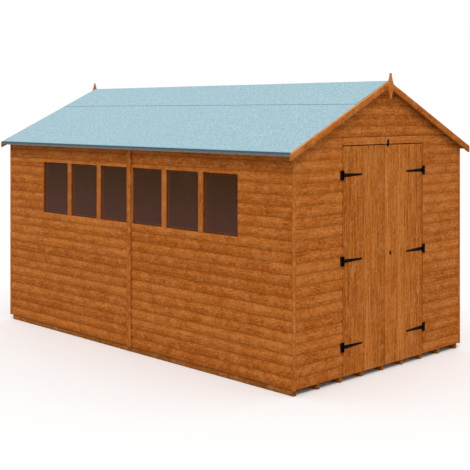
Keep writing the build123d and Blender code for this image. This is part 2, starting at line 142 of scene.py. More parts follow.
class Graph:
    """The node tree of a material or a world, written as expressions."""

    def __init__(self, owner: Union[bpy.types.Material, bpy.types.World]) -> None:
        """Starts with the owner's plain surface or background."""
        self.owner = owner
        owner.use_nodes = True
        self.tree = owner.node_tree
        kinds = ("BSDF_PRINCIPLED", "BACKGROUND")
        self.surface = next(node for node in self.tree.nodes if node.type in kinds)

    def node(
        self,
        kind: str,
        settings: Optional[dict] = None,
        inputs: Optional[dict] = None,
        output: Union[int, str] = 0,
    ) -> Value:
        """Adds one node.

        Args:
            kind: The node's type.
            settings: Its properties; "stops" holds a ramp's places and colours.
            inputs: Values or links, by socket name or number.
            output: Which output to return.

        Returns:
            The wrapped output.
        """
        node = self.tree.nodes.new(kind)
        for key, setting in (settings or {}).items():
            if key == "stops":
                elements = node.color_ramp.elements
                while len(elements) < len(setting):
                    elements.new(1.0)
                for element, (place, colour) in zip(elements, setting):
                    element.position = place
                    element.color = (*colour, 1.0)
            else:
                setattr(node, key, setting)
        for key, given in (inputs or {}).items():
            if isinstance(given, Value):
                self.tree.links.new(given.socket, node.inputs[key])
            else:
                node.inputs[key].default_value = given
        return Value(self, node.outputs[output])

    def seen(self) -> Value:
        """1 on the rays that show a background: camera, glossy and transmission rays."""
        camera = self.node("ShaderNodeLightPath", output="Is Camera Ray")
        rays = camera + camera.beside("Is Glossy Ray") + camera.beside("Is Transmission Ray")
        return rays.ramp(0.0, 1.0)

    def attribute(self, name: str) -> Value:
        """A number stored on the mesh."""
        return self.node("ShaderNodeAttribute", {"attribute_name": name}, output="Fac")

    def place(self) -> list[Value]:
        """The three Object coordinates."""
        return self.split(self.node("ShaderNodeTexCoord", output="Object"))

    def grain(self) -> list[Value]:
        """The piece's own grain coordinates: along the timber, across it, and 0."""
        return self.split(self.node("ShaderNodeUVMap", {"uv_map": "grain"}))

    def split(self, vector: Value) -> list[Value]:
        """The three parts of a vector."""
        node = self.node("ShaderNodeSeparateXYZ", None, {0: vector}).socket.node
        return [Value(self, socket) for socket in node.outputs]

    def vector(self, x: Number, y: Number, z: Number) -> Value:
        """A vector of three values."""
        return self.node("ShaderNodeCombineXYZ", None, {0: x, 1: y, 2: z})

    def noise(self, where: Value, scale: float, detail: float, rough: float) -> Value:
        """Smooth noise about 0.5.

        Args:
            where: The point to read.
            scale: Features per metre of that vector.
            detail: Octaves.
            rough: How strong the finer octaves are.

        Returns:
            The noise.
        """
        inputs = {"Vector": where, "Scale": scale, "Detail": detail, "Roughness": rough}
        return self.node("ShaderNodeTexNoise", None, inputs)

    def cells(self, where: Value, scale: float) -> tuple[Value, Value]:
        """Scattered cells: the distance to the nearest one, and that cell's own chance."""
        cell = self.node("ShaderNodeTexVoronoi", None, {"Vector": where, "Scale": scale})
        return cell, self.split(cell.beside("Color"))[0]

    def mix(
        self,
        share: Number,
        first: Union[Colour, Value],
        second: Union[Colour, Value],
        blend: str = "MIX",
    ) -> Value:
        """A blend of two colours.

        Args:
            share: How much of the second.
            first: A colour or a colour value.
            second: A colour or a colour value.
            blend: How the second is laid on the first.

        Returns:
            The blended colour.
        """
        ends = [end if isinstance(end, Value) else (*end, 1.0) for end in (first, second)]
        settings = {"data_type": "RGBA", "blend_type": blend}
        return self.node("ShaderNodeMix", settings, {0: share, 6: ends[0], 7: ends[1]}, 2)

    def shade(self, colour: Value, share: Number) -> Value:
        """A colour multiplied by a grey value."""
        grey = self.node("ShaderNodeCombineColor", None, {0: share, 1: share, 2: share})
        return self.mix(1.0, colour, grey, "MULTIPLY")

    def ramp(self, share: Value, stops: Sequence[tuple[float, Colour]]) -> Value:
        """A colour ramp on a value."""
        return self.node("ShaderNodeValToRGB", {"stops": stops}, {0: share})

    def bump(self, height: Value, distance: float, strength: float) -> None:
        """Feeds a height, in shares of a distance in metres, to the surface's normal."""
        inputs = {"Height": height, "Distance": distance, "Strength": strength}
        self.set("Normal", self.node("ShaderNodeBump", None, inputs))

    def set(self, socket: str, given: Union[Number, Colour]) -> None:
        """Sets or links one socket of the surface."""
        target = self.surface.inputs[socket]
        if isinstance(given, Value):
            self.tree.links.new(given.socket, target)
        else:
            target.default_value = (*given, 1.0) if isinstance(given, tuple) else given


# Finishes


class Cut(Enum):
    """How a timber's faces were left: how far specks stand out, and how deep its grain is."""

    PLANED = (0.5, 0.0007)
    SAWN = (0.7, 0.0012)


@dataclass(frozen=True)
class Grain:
    """One layer of a timber's grain, as noise.

    Attributes:
        along: Features per metre along the timber.
        across: Features per metre across it.
        detail: Octaves.
        rough: How strong the finer octaves are.
        apart: How far the layer is read from the board's own seed.
    """

    along: float
    across: float
    detail: float
    rough: float = 0.6
    apart: float = 0.0

    def noise(self, g: Graph, along: Value, across: Value, seed: Value) -> Value:
        """The layer's noise, about 0.5."""
        where = g.vector(along * self.along, across * self.across, seed + self.apart)
        return g.noise(where, 1.0, self.detail, self.rough)


@dataclass(frozen=True)
class Coating:
    """A finish: its material's name, and the slot of the pieces that wear it."""

    name: str
    slot: str

    def material(self) -> bpy.types.Material:
        """The finish's one material, built when it is first asked for."""
        found = bpy.data.materials.get(self.name)
        if found:
            return found
        g = Graph(bpy.data.materials.new(self.name))
        self.paint(g)
        return g.owner


@dataclass(frozen=True)
class TreatedWood(Coating):
    """Softwood dipped in an orange-brown preservative.

    Grain runs along the grain coordinates; "tone" sets one board apart from the next, "end"
    marks sawn ends, "lap" the edges next to a joint, darkened as painted shade, and "rise" is
    painted light: from -1, painted shade at a lapped board's foot, to 1 where the board is
    painted lightest, and past 1 on a painted highlight along an upward edge.
    Each share says how strongly a layer of grain turns the colour.
    """

    dark: Colour
    light: Colour
    cut: Cut = Cut.PLANED
    tone_share: float = 0.2
    streak_share: float = 0.5
    speck_share: float = 1.3
    patch_share: float = 0.6
    fine_share: float = 0.9
    hue_share: float = 0.8

    STREAK = Grain(3.0, 80.0, 4.0)
    SPECK = Grain(36.0, 80.0, 3.0, 0.65)
    PATCH = Grain(7.0, 7.0, 3.0, 0.5)
    FINE = Grain(2.5, 330.0, 3.0)
    HUE = Grain(10.0, 12.0, 3.0, apart=7.0)
    FLECK = Grain(34.0, 58.0, 2.0, apart=3.0)
    RINGS = Grain(30.0, 30.0, 2.0, 0.55)
    SEED = 41.0
    BOW = 0.02
    DEEP, PALE = 0.6, 1.28
    TAN, AMBER = (0.98, 1.16, 1.55), (1.04, 0.93, 0.4)
    KNOT_SCALE, KNOT_EDGE, KNOT_CHANCE = (6.0, 13.0), (0.19, 0.04), 0.7
    KNOT_RINGS, END_RINGS = 140.0, 60.0
    ROUGHNESS, SPECULAR, RELIEF = 0.72, 0.04, 0.5

    def paint(self, g: Graph) -> None:
        """Layers of grain share out dark and light, then each coat in turn is mixed in by its
        share, the last three being painted light and shade from "rise"; painted shade in the laps
        darkens the whole, and painted light from "rise" brightens the upper part of a board."""
        along, across, _ = g.grain()
        tone, end, lap, rise = (g.attribute(name) for name in ("tone", "end", "lap", "rise"))
        seed = tone * self.SEED
        layers = (self.STREAK, self.SPECK, self.PATCH, self.HUE, self.FLECK, self.RINGS)
        streak, speck, patch, hue, fleck, ring = (
            layer.noise(g, along, across, seed) for layer in layers
        )
        fine = self.FINE.noise(g, along, across + (patch - 0.5) * self.BOW, seed)
        share = (
            0.5
            + (streak - 0.5) * self.streak_share
            + (speck - 0.5) * self.speck_share
            + (patch - 0.5) * self.patch_share
            + (fine - 0.5) * self.fine_share
            + (tone - 0.5) * self.tone_share
        )
        middle = tuple((a + b) / 2 for a, b in zip(self.dark, self.light))
        deep, pale = tint(self.dark, self.DEEP), tint(self.light, self.PALE)
        tan, amber = tint(self.light, *self.TAN), tint(middle, *self.AMBER)
        stops = [(0.02, deep), (0.3, self.dark), (0.5, middle), (0.7, self.light), (0.98, pale)]
        colour = g.ramp(share, stops)
        knot_along, knot_across = self.KNOT_SCALE
        cell, chance = g.cells(g.vector(along * knot_along, across * knot_across, seed), 1.0)
        knot = cell.ramp(*self.KNOT_EDGE) * (chance > self.KNOT_CHANCE)
        coats = [
            (hue.ramp(0.52, 0.72) * self.hue_share, tan),
            (hue.ramp(0.48, 0.28) * self.hue_share, amber),
            (fleck.ramp(0.57, 0.7) * self.hue_share, tan),
            (fleck.ramp(0.43, 0.3) * self.hue_share, amber),
            (knot * ((cell * self.KNOT_RINGS).sine() * 0.15 + 0.6), deep),
            (end * (0.25 + (ring * self.END_RINGS).sine() * 0.16), deep),
            # painted light from rise: tan on a board's lit upper part, amber in painted shade at
            # its foot, and a pale painted highlight where rise passes 1
            (rise.ramp(0.0, 1.0) * 0.12, tan),
            (rise.ramp(0.2, -1.0) * 0.22, amber),
            (rise.ramp(1.0, 9.0) * 0.8, tan),
        ]
        for coat, coat_colour in coats:
            colour = g.mix(coat, colour, coat_colour)
        # painted shade in the laps between boards, and painted light from rise over the whole
        joint_shade = (lap + (speck - 0.5) * 0.9).ramp(0.15, 0.95)
        g.set("Base Color", g.shade(colour, (1.0 + rise * 0.08) * (1.0 - joint_shade * 0.2)))
        g.set("Roughness", self.ROUGHNESS + (streak - 0.5) * 0.2)
        g.set("Specular IOR Level", self.SPECULAR)
        stand, depth = self.cut.value
        g.bump(speck * stand + streak * 0.5 - knot * 0.4, depth, self.RELIEF)


@dataclass(frozen=True)
class MineralFelt(Coating):
    """Roofing felt faced with pale blue-green mineral granules; "lip" marks the bend over the
    eaves, painted shade, and the turned-down lip, painted a darker grey-brown.

    Each noise is given as features per metre, octaves and the strength of the finer octaves.
    """

    body: Colour
    speck: Colour
    bend: Colour
    lip: Colour

    GRIT, CLUMP, PATCH = (520.0, 2.0, 0.7), (62.0, 3.0, 0.75), (2.4, 3.0, 0.55)
    GRANULES, DARK_CHANCE, DARK_SHARE = 330.0, 0.9, 0.5
    LOW, PALE = 0.84, 1.18
    ROUGHNESS, SPECULAR, DEPTH, RELIEF = 0.9, 0.15, 0.0011, 0.5

    def paint(self, g: Graph) -> None:
        """Grit, clumps and patches of granules, then painted shade on the bend and the darker lip.
        """
        where, lip = g.vector(*g.place()), g.attribute("lip")
        grit, clump, patch = (g.noise(where, *kind) for kind in (self.GRIT, self.CLUMP, self.PATCH))
        cell, chance = g.cells(where, self.GRANULES)
        share = 0.5 + (grit - 0.5) * 0.9 + (clump - 0.5) * 3.2 + (patch - 0.5) * 0.12
        low, pale = tint(self.body, self.LOW), tint(self.body, self.PALE)
        colour = g.ramp(share, [(0.1, low), (0.5, self.body), (0.9, pale)])
        colour = g.mix((chance > self.DARK_CHANCE) * self.DARK_SHARE, colour, self.speck)
        # painted shade on the bend, then the darker grey-brown of the lip
        edge = g.ramp(lip, [(0.0, self.bend), (0.45, self.bend), (0.8, self.lip)])
        edge = g.shade(edge, 0.8 + grit * 0.4)
        g.set("Base Color", g.mix(lip.ramp(0.0, 0.3), colour, edge))
        g.set("Roughness", self.ROUGHNESS + (grit - 0.5) * 0.15)
        g.set("Specular IOR Level", self.SPECULAR)
        g.bump(grit + cell * 0.5, self.DEPTH, self.RELIEF)


@dataclass(frozen=True)
class BlackIron(Coating):
    """Black japanned ironwork with a slight orange-peel and rubbed patches."""

    body: Colour
    wear_and_highlight: Colour

    PEEL, PATCH = (260.0, 2.0, 0.55), (38.0, 4.0, 0.6)
    ROUGHNESS, SPECULAR, DEPTH, RELIEF = 0.46, 0.035, 0.0004, 0.3

    def paint(self, g: Graph) -> None:
        """Black with rubbed patches, over a fine peel."""
        where = g.vector(*g.place())
        peel, patch = g.noise(where, *self.PEEL), g.noise(where, *self.PATCH)
        g.set("Base Color", g.mix(patch.ramp(0.5, 0.85), self.body, self.wear_and_highlight))
        g.set("Roughness", self.ROUGHNESS + (patch - 0.5) * 0.35)
        g.set("Specular IOR Level", self.SPECULAR)
        g.bump(peel, self.DEPTH, self.RELIEF)


@dataclass(frozen=True)
class PaneGlass(Coating):
    """Thin glazing, a little grimy, tinted brown as painted shade of the dim inside: a painted
    shadow under the head and a greyer painted reflection towards the sill.
    """

    high: Colour
    low: Colour
    grime: Colour
    head_z: float = 1.53
    sill_z: float = 1.08

    FILM_Y, FILM_Z, FILM = 9.0, 2.2, (1.0, 4.0, 0.6)
    ALPHA, ROUGHNESS, IOR = 0.56, 0.06, 1.15

    def paint(self, g: Graph) -> None:
        """Painted shadow above, a painted reflection below, and a streaky film over both."""
        x, y, z = g.place()
        film = g.noise(g.vector(x, y * self.FILM_Y, z * self.FILM_Z), *self.FILM)
        streaks = film.ramp(0.45, 0.85)
        # painted shade: high is the painted shadow at the head, low the painted reflection towards
        # the sill
        drop = (z + (film - 0.5) * 0.3).ramp(self.head_z, self.sill_z)
        colour = g.mix(drop, self.high, self.low)
        g.set("Base Color", g.mix(streaks * 0.6, colour, self.grime))
        g.set("Alpha", self.ALPHA + streaks * 0.12)
        g.set("Roughness", self.ROUGHNESS + streaks * 0.12)
        g.set("IOR", self.IOR)
        g.owner.surface_render_method = "BLENDED"


class Finish(Enum):
    """The shed's finishes, each built once."""

    WALL = TreatedWood(
        "dipped_wall_boards", "wall_boards", srgb(149, 73, 13), srgb(185, 110, 48),
        streak_share=0.5, speck_share=1.5, patch_share=0.65, fine_share=0.8, hue_share=0.65,
    )
    DOOR = TreatedWood(
        "dipped_door_boards", "door_boards", srgb(148, 74, 13), srgb(188, 114, 51),
        tone_share=0.27, streak_share=1.35, speck_share=1.1, patch_share=0.3, fine_share=1.2,
        hue_share=0.6,
    )
    TRIM = TreatedWood(
        "dipped_trim", "trim_timber", srgb(151, 77, 16), srgb(188, 114, 54), patch_share=0.5
    )
    FRAME = TreatedWood(
        "dipped_framing", "frame_timber", srgb(140, 78, 26), srgb(178, 112, 54), Cut.SAWN, 0.35
    )
    # bend: painted shade on the felt's bend over the eaves; lip: the darker grey-brown of the
    # turned-down lip
    FELT = MineralFelt(
        "mineral_felt", "roof_felt", srgb(158, 188, 198), srgb(116, 138, 146),
        bend=srgb(66, 92, 102), lip=srgb(116, 112, 104),
    )
    IRON = BlackIron("black_ironwork", "black_iron", srgb(2, 2, 2), srgb(6, 6, 6))
    # the brown tint is painted shade of the inside: high at the head, low a painted reflection
    # towards the sill, then grime
    GLASS = PaneGlass(
        "pane_glass", "glass", srgb(74, 44, 16), srgb(92, 58, 46), srgb(92, 64, 50)
    )

    def dress(self, obj: bpy.types.Object) -> None:
        """Puts the finish on an object as its only material."""
        obj.data.materials.clear()
        obj.data.materials.append(self.value.material())


# Outlines and mesh arrays


def box(node: str) -> tuple[Array, Array, Array, Array]:
    """A CAD node's box: its low corner, high corner, middle and size."""
    low, high = (np.array(list(corner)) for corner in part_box(node))
    return low, high, (low + high) / 2, high - low


def span(axis: int, first: float, last: float, *rest: float) -> Ends:
    """Two ends that differ along one axis; rest holds the other two coordinates in order."""
    return [[*rest[:axis], end, *rest[axis:]] for end in (first, last)]


def laid(low: float, high: float, cover: float) -> tuple[Array, float]:
    """Middles and width of the boards that fill a run, as wide as divides it nearest to cover."""
    count = round((high - low) / cover)
    width = (high - low) / count
    return low + width * (np.arange(count) + 0.5), width


def circle(turns: int) -> Array:
    """Points round a unit circle, anticlockwise."""
    angle = np.arange(turns) * 2 * math.pi / turns
    return np.stack([np.cos(angle), np.sin(angle)], axis=1)


def flat(outline: Array, axes: Axes) -> Array:
    """The points a * A + b * B of an outline, with A and B its axes."""
    return outline[:, :1] * axes[0] + outline[:, 1:] * axes[1]


def handed(outline: Union[Array, Sequence], side: int) -> Array:
    """An outline for one side: for -1 it is mirrored and reversed, to stay anticlockwise."""
    return (np.array(outline) * (side, 1))[::side]


def rounded_rectangle(width: float, depth: float, radius: float, steps: int = 3) -> Array:
    """A rectangle about the origin whose corners are arcs: each corner's centre plus the radius
    turned through a quarter in equal steps.

    Args:
        width: Size along the first axis.
        depth: Size along the second axis.
        radius: Corner radius.
        steps: Points on each corner.

    Returns:
        The outline, anticlockwise.
    """
    quarter = np.linspace(0.0, math.pi / 2, steps)
    angle = (np.arange(4)[:, None] * math.pi / 2 + quarter).ravel()
    sign = np.repeat(np.array([[1, 1], [-1, 1], [-1, -1], [1, -1]]), steps, axis=0)
    centre = sign * (np.array([width, depth]) / 2 - radius)
    return centre + radius * np.stack([np.cos(angle), np.sin(angle)], axis=1)


def skin(rings: int, count: int) -> tuple[Array, list[list[int]]]:
    """The faces of a closed tube of rings: quads (k, j), (k, j + 1), (k + 1, j + 1), (k + 1, j)
    between ring k and the next, and a cap on the first and last rings.

    Args:
        rings: How many rings there are.
        count: Points on each ring.

    Returns:
        The quads' corner numbers, and those of the two caps.
    """
    k, j = np.meshgrid(np.arange(rings - 1), np.arange(count), indexing="ij")
    after = (j + 1) % count
    corners = [(k, j), (k, after), (k + 1, after), (k + 1, j)]
    quads = np.stack([row * count + column for row, column in corners], axis=-1).reshape(-1, 4)
    last = (rings - 1) * count
    return quads, [list(range(count - 1, -1, -1)), list(range(last, last + count))]


class Head(NamedTuple):
    """A nail's or screw's round head: its rim's radius, its height and the points round it."""

    radius: float
    height: float
    turns: int = 10


@dataclass
class Mesh:
    """Vertices, faces and attributes gathered patch by patch, then made one object.

    Attributes:
        rng: Source of each patch's tone and grain offset.
    """

    rng: np.random.Generator
    verts: list[Array] = field(default_factory=list)
    faces: list[list[int]] = field(default_factory=list)
    grain: list[Array] = field(default_factory=list)
    # lap holds painted shade and rise painted light for the wood; lip the felt's painted shade and
    # darker edge
    points: dict[str, list[Array]] = field(
        default_factory=lambda: {key: [] for key in ("tone", "lap", "lip", "rise")}
    )
    ends: list[Array] = field(default_factory=list)
    count: int = 0

    def add(
        self,
        verts: Array,
        faces: list[list[int]],
        grain: Optional[Array] = None,
        tone: float = 0.5,
        end: Optional[Array] = None,
        **points: Array,
    ) -> None:
        """Adds one patch.

        Args:
            verts: Points, n by 3.
            faces: Corner numbers of each face.
            grain: Grain coordinates of every face corner, in order.
            tone: The patch's own shade, 0 to 1.
            end: 1 on each face that is a sawn end.
            points: Each point's lap, lip or rise, as painted shade, the felt's darkened edge and
                painted light.
        """
        corners = sum(len(face) for face in faces)
        values = {"tone": np.full(len(verts), tone), **points}
        self.verts.append(verts)
        self.faces += [[corner + self.count for corner in face] for face in faces]
        self.grain.append(np.zeros((corners, 2)) if grain is None else grain)
        for key, parts in self.points.items():
            parts.append(values.get(key, np.zeros(len(verts))))
        self.ends.append(np.zeros(len(faces)) if end is None else end)
        self.count += len(verts)

    def draw(self, tone: Optional[float], shift: Optional[Array] = None) -> tuple[Array, float]:
        """A patch's grain offset and tone, drawn unless they are given."""
        drawn = self.rng.random(3)
        offset = drawn[:2] * GRAIN_SPREAD if shift is None else shift
        return offset, float(drawn[2]) if tone is None else tone

    def sweep(
        self,
        profile: Array,
        axes: Axes,
        origin: Sequence[float],
        starts: Union[float, Array],
        ends: Union[float, Array],
        stations: int = 2,
        tone: Optional[float] = None,
        shift: Optional[Array] = None,
        bend: Optional[Line] = None,
        **points: Array,
    ) -> None:
        """Carries a closed profile along a straight line.

        Point (k, j) is origin + a_j * A + b_j * B + (s_j + (e_j - s_j) * k / (K - 1)) * D with A
        and B the section's axes, s and e the starts and ends, and D = A x B the way along, so a
        slanting end is only a start or an end that differs from one profile point to the next.

        Args:
            profile: The section's points, anticlockwise, n by 2.
            axes: A and B, unit vectors.
            origin: The section's origin.
            starts: Where the profile's points start along D.
            ends: Where the profile's points end along D.
            stations: Sections along the line.
            tone: A fixed tone in place of a drawn one.
            shift: A fixed grain offset in place of a drawn one.
            bend: Moves the finished points, n by 3 to n by 3.
            points: The profile points' lap, lip or rise, as painted shade, felt edge and painted
                light.
        """
        count = len(profile)
        starts, ends = np.broadcast_to(starts, count), np.broadcast_to(ends, count)
        reach = starts + (ends - starts) * np.linspace(0.0, 1.0, stations)[:, None]
        verts = np.asarray(origin) + flat(profile, axes)[None] + reach[..., None] * np.cross(*axes)
        verts = verts.reshape(-1, 3)
        if bend is not None:
            verts = bend(verts)
        quads, caps = skin(stations, count)
        steps = np.diff(profile, axis=0, append=profile[:1])
        girth = np.concatenate([[0.0], np.cumsum(np.linalg.norm(steps, axis=1))])
        j = quads[:, 0] % count
        v = girth[np.stack([j, j + 1, j + 1, j], axis=-1)]
        sides = np.stack([reach.ravel()[quads], v], axis=-1).reshape(-1, 2)
        offset, tone = self.draw(tone, shift)
        self.add(
            verts,
            [*quads.tolist(), *caps],
            np.concatenate([sides, profile[::-1], profile]) + offset,
            tone,
            np.concatenate([np.zeros(len(quads)), np.ones(len(caps))]),
            **{key: np.tile(value, stations) for key, value in points.items()},
        )

    def timber(
        self,
        ends: Ends,
        across: Array,
        width: float,
        depth: float,
        cuts: Sequence[Optional[Array]] = (None, None),
        radius: float = 0.0015,
        tone: Optional[float] = None,
        lap: float = 0.0,
        wear_and_highlight: Sequence[float] = (0.0, 0.0, 0.0),
    ) -> None:
        """A straight timber with eased edges, its ends square or cut on a plane.

        A section point o meets the plane of normal n at -(o . n) / (d . n) along the way d.

        Args:
            ends: Middles of its two ends.
            across: Unit vector of its width.
            width: Size across.
            depth: Size the other way.
            cuts: Normals of the ends' planes, none for a square end.
            radius: How far its edges are eased.
            tone: A fixed tone in place of a drawn one.
            lap: Its lap value, painted shade.
            wear_and_highlight: The way that its painted highlight faces, as long as that face's
                rise.
        """
        first, last = np.array(ends, float)
        length = float(np.linalg.norm(last - first))
        way = (last - first) / length
        axes = (across, np.cross(way, across))
        profile = rounded_rectangle(width, depth, min(radius, width / 4, depth / 4))
        section = flat(profile, axes)
        meets = [0.0 if cut is None else -(section @ cut) / float(way @ cut) for cut in cuts]
        facing = flat(rounded_rectangle(2.0, 2.0, 1.0), axes)
        # rise here is a painted highlight on the faces that point along wear_and_highlight
        rise = (facing @ np.asarray(wear_and_highlight)).clip(0.0)
        laps = np.full(len(profile), lap)
        reach = meets[0], length + meets[1]
        self.sweep(profile, axes, first, *reach, tone=tone, lap=laps, rise=rise)

    def stack(
        self,
        rings: Sequence[tuple[Array, float]],
        axes: Axes,
        origin: Sequence[float],
        along: int = 0,
        offset: Union[float, Array] = 0.0,
        tone: float = 0.5,
    ) -> None:
        """Closes a stack of outlines: point (k, j) is origin + a_kj * A + b_kj * B + h_k * A x B.

        Args:
            rings: The outlines, n by 2, and the height h of each.
            axes: A and B, unit vectors.
            origin: The outlines' origin.
            along: Which outline axis the grain follows.
            offset: The grain's offset.
            tone: The stack's tone.
        """
        points = np.concatenate([outline for outline, _ in rings])
        front = np.cross(*axes)
        verts = np.concatenate([flat(outline, axes) + h * front for outline, h in rings])
        quads, caps = skin(len(rings), len(rings[0][0]))
        order = np.concatenate([quads.ravel(), *caps])
        grain = points[order][:, [along, 1 - along]] + offset
        self.add(np.asarray(origin) + verts, [*quads.tolist(), *caps], grain, tone)

    def plate(
        self,
        outline: Array,
        axes: Axes,
        origin: Sequence[float],
        thickness: float,
        bevel: float,
        along: int = 0,
        tone: Optional[float] = None,
    ) -> None:
        """A flat plate with a bevelled front edge: rings of the outline at the back, at the
        thickness less the bevel, and at the thickness with the outline drawn in by the bevel
        along its own normals, with both flat faces closed.

        Args:
            outline: Its points, anticlockwise seen from the front.
            axes: The outline's two axes; their cross product points to the front.
            origin: The outline's origin, on the back face.
            thickness: Back to front.
            bevel: Width of the bevel.
            along: Which outline axis the grain follows.
            tone: A fixed tone in place of a drawn one.
        """
        tangent = np.roll(outline, -1, axis=0) - np.roll(outline, 1, axis=0)
        tangent /= np.linalg.norm(tangent, axis=1, keepdims=True)
        inward = np.stack([-tangent[:, 1], tangent[:, 0]], axis=1)
        bevelled = outline + inward * bevel
        rings = [(outline, 0.0), (outline, thickness - bevel), (bevelled, thickness)]
        self.stack(rings, axes, origin, along, *self.draw(tone))

    def domes(self, centres: Array, out: Array, kind: Head) -> None:
        """Low round heads: a rim and an inner ring, each at height h * (1 - (r / R) ^ 2) for its
        radius r, closed by one point, with R the head's radius and h its height.

        Args:
            centres: Their centres on the surface, n by 3.
            out: The way that they face.
            kind: Their size.
        """
        radius, height, turns = kind
        side = np.cross(out, X_AXIS if abs(out[0]) < 0.9 else Y_AXIS)
        side /= np.linalg.norm(side)
        around = flat(circle(turns), (side, np.cross(out, side)))
        rings = [around * radius * r + out * height * (1 - r * r) for r in (1.0, 0.62)]
        head = np.concatenate([*rings, out[None] * height])
        quads, _ = skin(len(rings), turns)
        fans = np.stack([quads[:, 3], quads[:, 2], np.full(turns, 2 * turns)], axis=1)
        for centre in centres:
            self.add(centre + head, [*quads.tolist(), *fans.tolist()])

    def tube(self, foot: Array, length: float, radius: float, ease: float) -> None:
        """An upright round bar: circles of radius r at height h, drawn in at both ends.

        Args:
            foot: Middle of its lower end.
            length: Its height.
            radius: Its radius.
            ease: How far its ends are eased.
        """
        around = circle(TUBE_TURNS)
        full, drawn_in = around * radius, around * (radius - ease)
        rings = [(drawn_in, 0.0), (full, ease), (full, length - ease), (drawn_in, length)]
        self.stack(rings, (X_AXIS, Y_AXIS), foot)

    def build(
        self,
        name: str,
        finish: Finish,
        node: Optional[str] = None,
        body: str = "shed",
        sharp: float = 42.0,
    ) -> None:
        """Makes the object, smooth but for its sharp edges.

        Args:
            name: The object's name.
            finish: Its finish.
            node: The CAD node that it stands for, if any.
            body: The CAD body that it rides on.
            sharp: Angle in degrees above which an edge is sharp.
        """
        mesh = bpy.data.meshes.new(name)
        mesh.from_pydata(np.concatenate(self.verts).tolist(), [], self.faces)
        layer = mesh.uv_layers.new(name="grain")
        layer.data.foreach_set("uv", np.concatenate(self.grain).astype(np.float32).ravel())
        stored = [(key, "POINT", parts) for key, parts in self.points.items()]
        for key, domain, parts in [*stored, ("end", "FACE", self.ends)]:
            attribute = mesh.attributes.new(key, "FLOAT", domain)
            attribute.data.foreach_set("value", np.concatenate(parts).astype(np.float32))
        mesh.polygons.foreach_set("use_smooth", np.ones(len(mesh.polygons), bool))
        mesh.update()
        mesh.set_sharp_from_angle(angle=math.radians(sharp))
        obj = bpy.data.objects.new(name, mesh)
        bpy.context.scene.collection.objects.link(obj)
        finish.dress(obj)
        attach(obj, body)
        if node:
            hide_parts(node)
        log.info("%s: %d faces", name, len(self.faces))


# The shed's own lines


def edge(node: str, corner: int, axis: str) -> float:
    """A field that reads how far a node's low (0) or high (1) corner lies along an axis."""
    return field(default_factory=lambda: abs(getattr(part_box(node)[corner], axis)))


@dataclass(frozen=True)
class Lines:
    """The lines that the shed's pieces share, as distances from the origin, read from the CAD
    nodes; frame is the outside of the wall frames, inner their inside."""

    half_width: float = edge("left_cladding_below_windows", 0, "x")
    half_length: float = edge("front_wall_left", 0, "y")
    frame_x: float = edge("left_cladding_below_windows", 1, "x")
    frame_y: float = edge("left_cladding_below_windows", 1, "y")
    inner_x: float = edge("right_wall_frame", 0, "x")
    inner_y: float = edge("back_wall_frame", 0, "y")
    ground_z: float = edge("left_cladding_below_windows", 0, "z")
    floor_top: float = edge("floor_boards", 1, "z")
    sill_z: float = edge("left_cladding_below_windows", 1, "z")
    head_z: float = edge("left_cladding_above_windows", 0, "z")
    eaves_z: float = edge("left_cladding_above_windows", 1, "z")
    plate_top: float = edge("left_wall_frame", 1, "z")
    opening_x: float = edge("front_wall_left", 1, "x")
    opening_z: float = edge("door_head_board", 0, "z")
    head_board_z: float = edge("front_wall_left", 1, "z")
    roof_x: float = edge("left_roof_boards", 0, "x")
    roof_y: float = edge("left_roof_boards", 1, "y")
    pitch: float = math.radians(25.2)
    stud: float = 0.028
    depth: float = 0.044
    gap: float = 0.0003

    @property
    def slope(self) -> float:
        """Rise of the roof for each metre in."""
        return math.tan(self.pitch)

    @property
    def lean(self) -> float:
        """Cosine of the pitch."""
        return math.cos(self.pitch)

    def under(self, x: Union[float, Array]) -> Union[float, Array]:
        """Height of the roof boards' underside at a distance x from the middle."""
        return self.eaves_z + (self.half_width - abs(x)) * self.slope

    def under_x(self, z: Union[float, Array]) -> Union[float, Array]:
        """Distance from the middle at which the roof boards' underside is at height z."""
        return self.half_width - (z - self.eaves_z) / self.slope

    def normal(self, side: int) -> Array:
        """Unit vector out of the slope on one side."""
        return np.array([side * math.sin(self.pitch), 0.0, self.lean])


@dataclass
class Assembly:
    """A sub-assembly: the shed's lines, and a seed for the variations of its pieces."""

    lines: Lines
    seed: int = 0

    def __post_init__(self) -> None:
        """Seeds the variations."""
        self.rng = np.random.default_rng(self.seed)

    def mesh(self) -> Mesh:
        """An empty mesh whose pieces vary by this sub-assembly's seed."""
        return Mesh(self.rng)


# Walls


class Wall(Enum):
    """The four walls, by the way that they face."""

    LEFT = (-1, 0)
    RIGHT = (1, 0)
    FRONT = (0, -1)
    BACK = (0, 1)

    @property
    def long(self) -> bool:
        """Whether it is one of the two long walls."""
        return self.value[0] != 0

    @property
    def out(self) -> Array:
        """Unit vector that the wall faces."""
        return np.array([*self.value, 0.0], float)

    @property
    def along(self) -> Array:
        """Unit vector along the boards."""
        return np.cross(self.out, Z_AXIS)


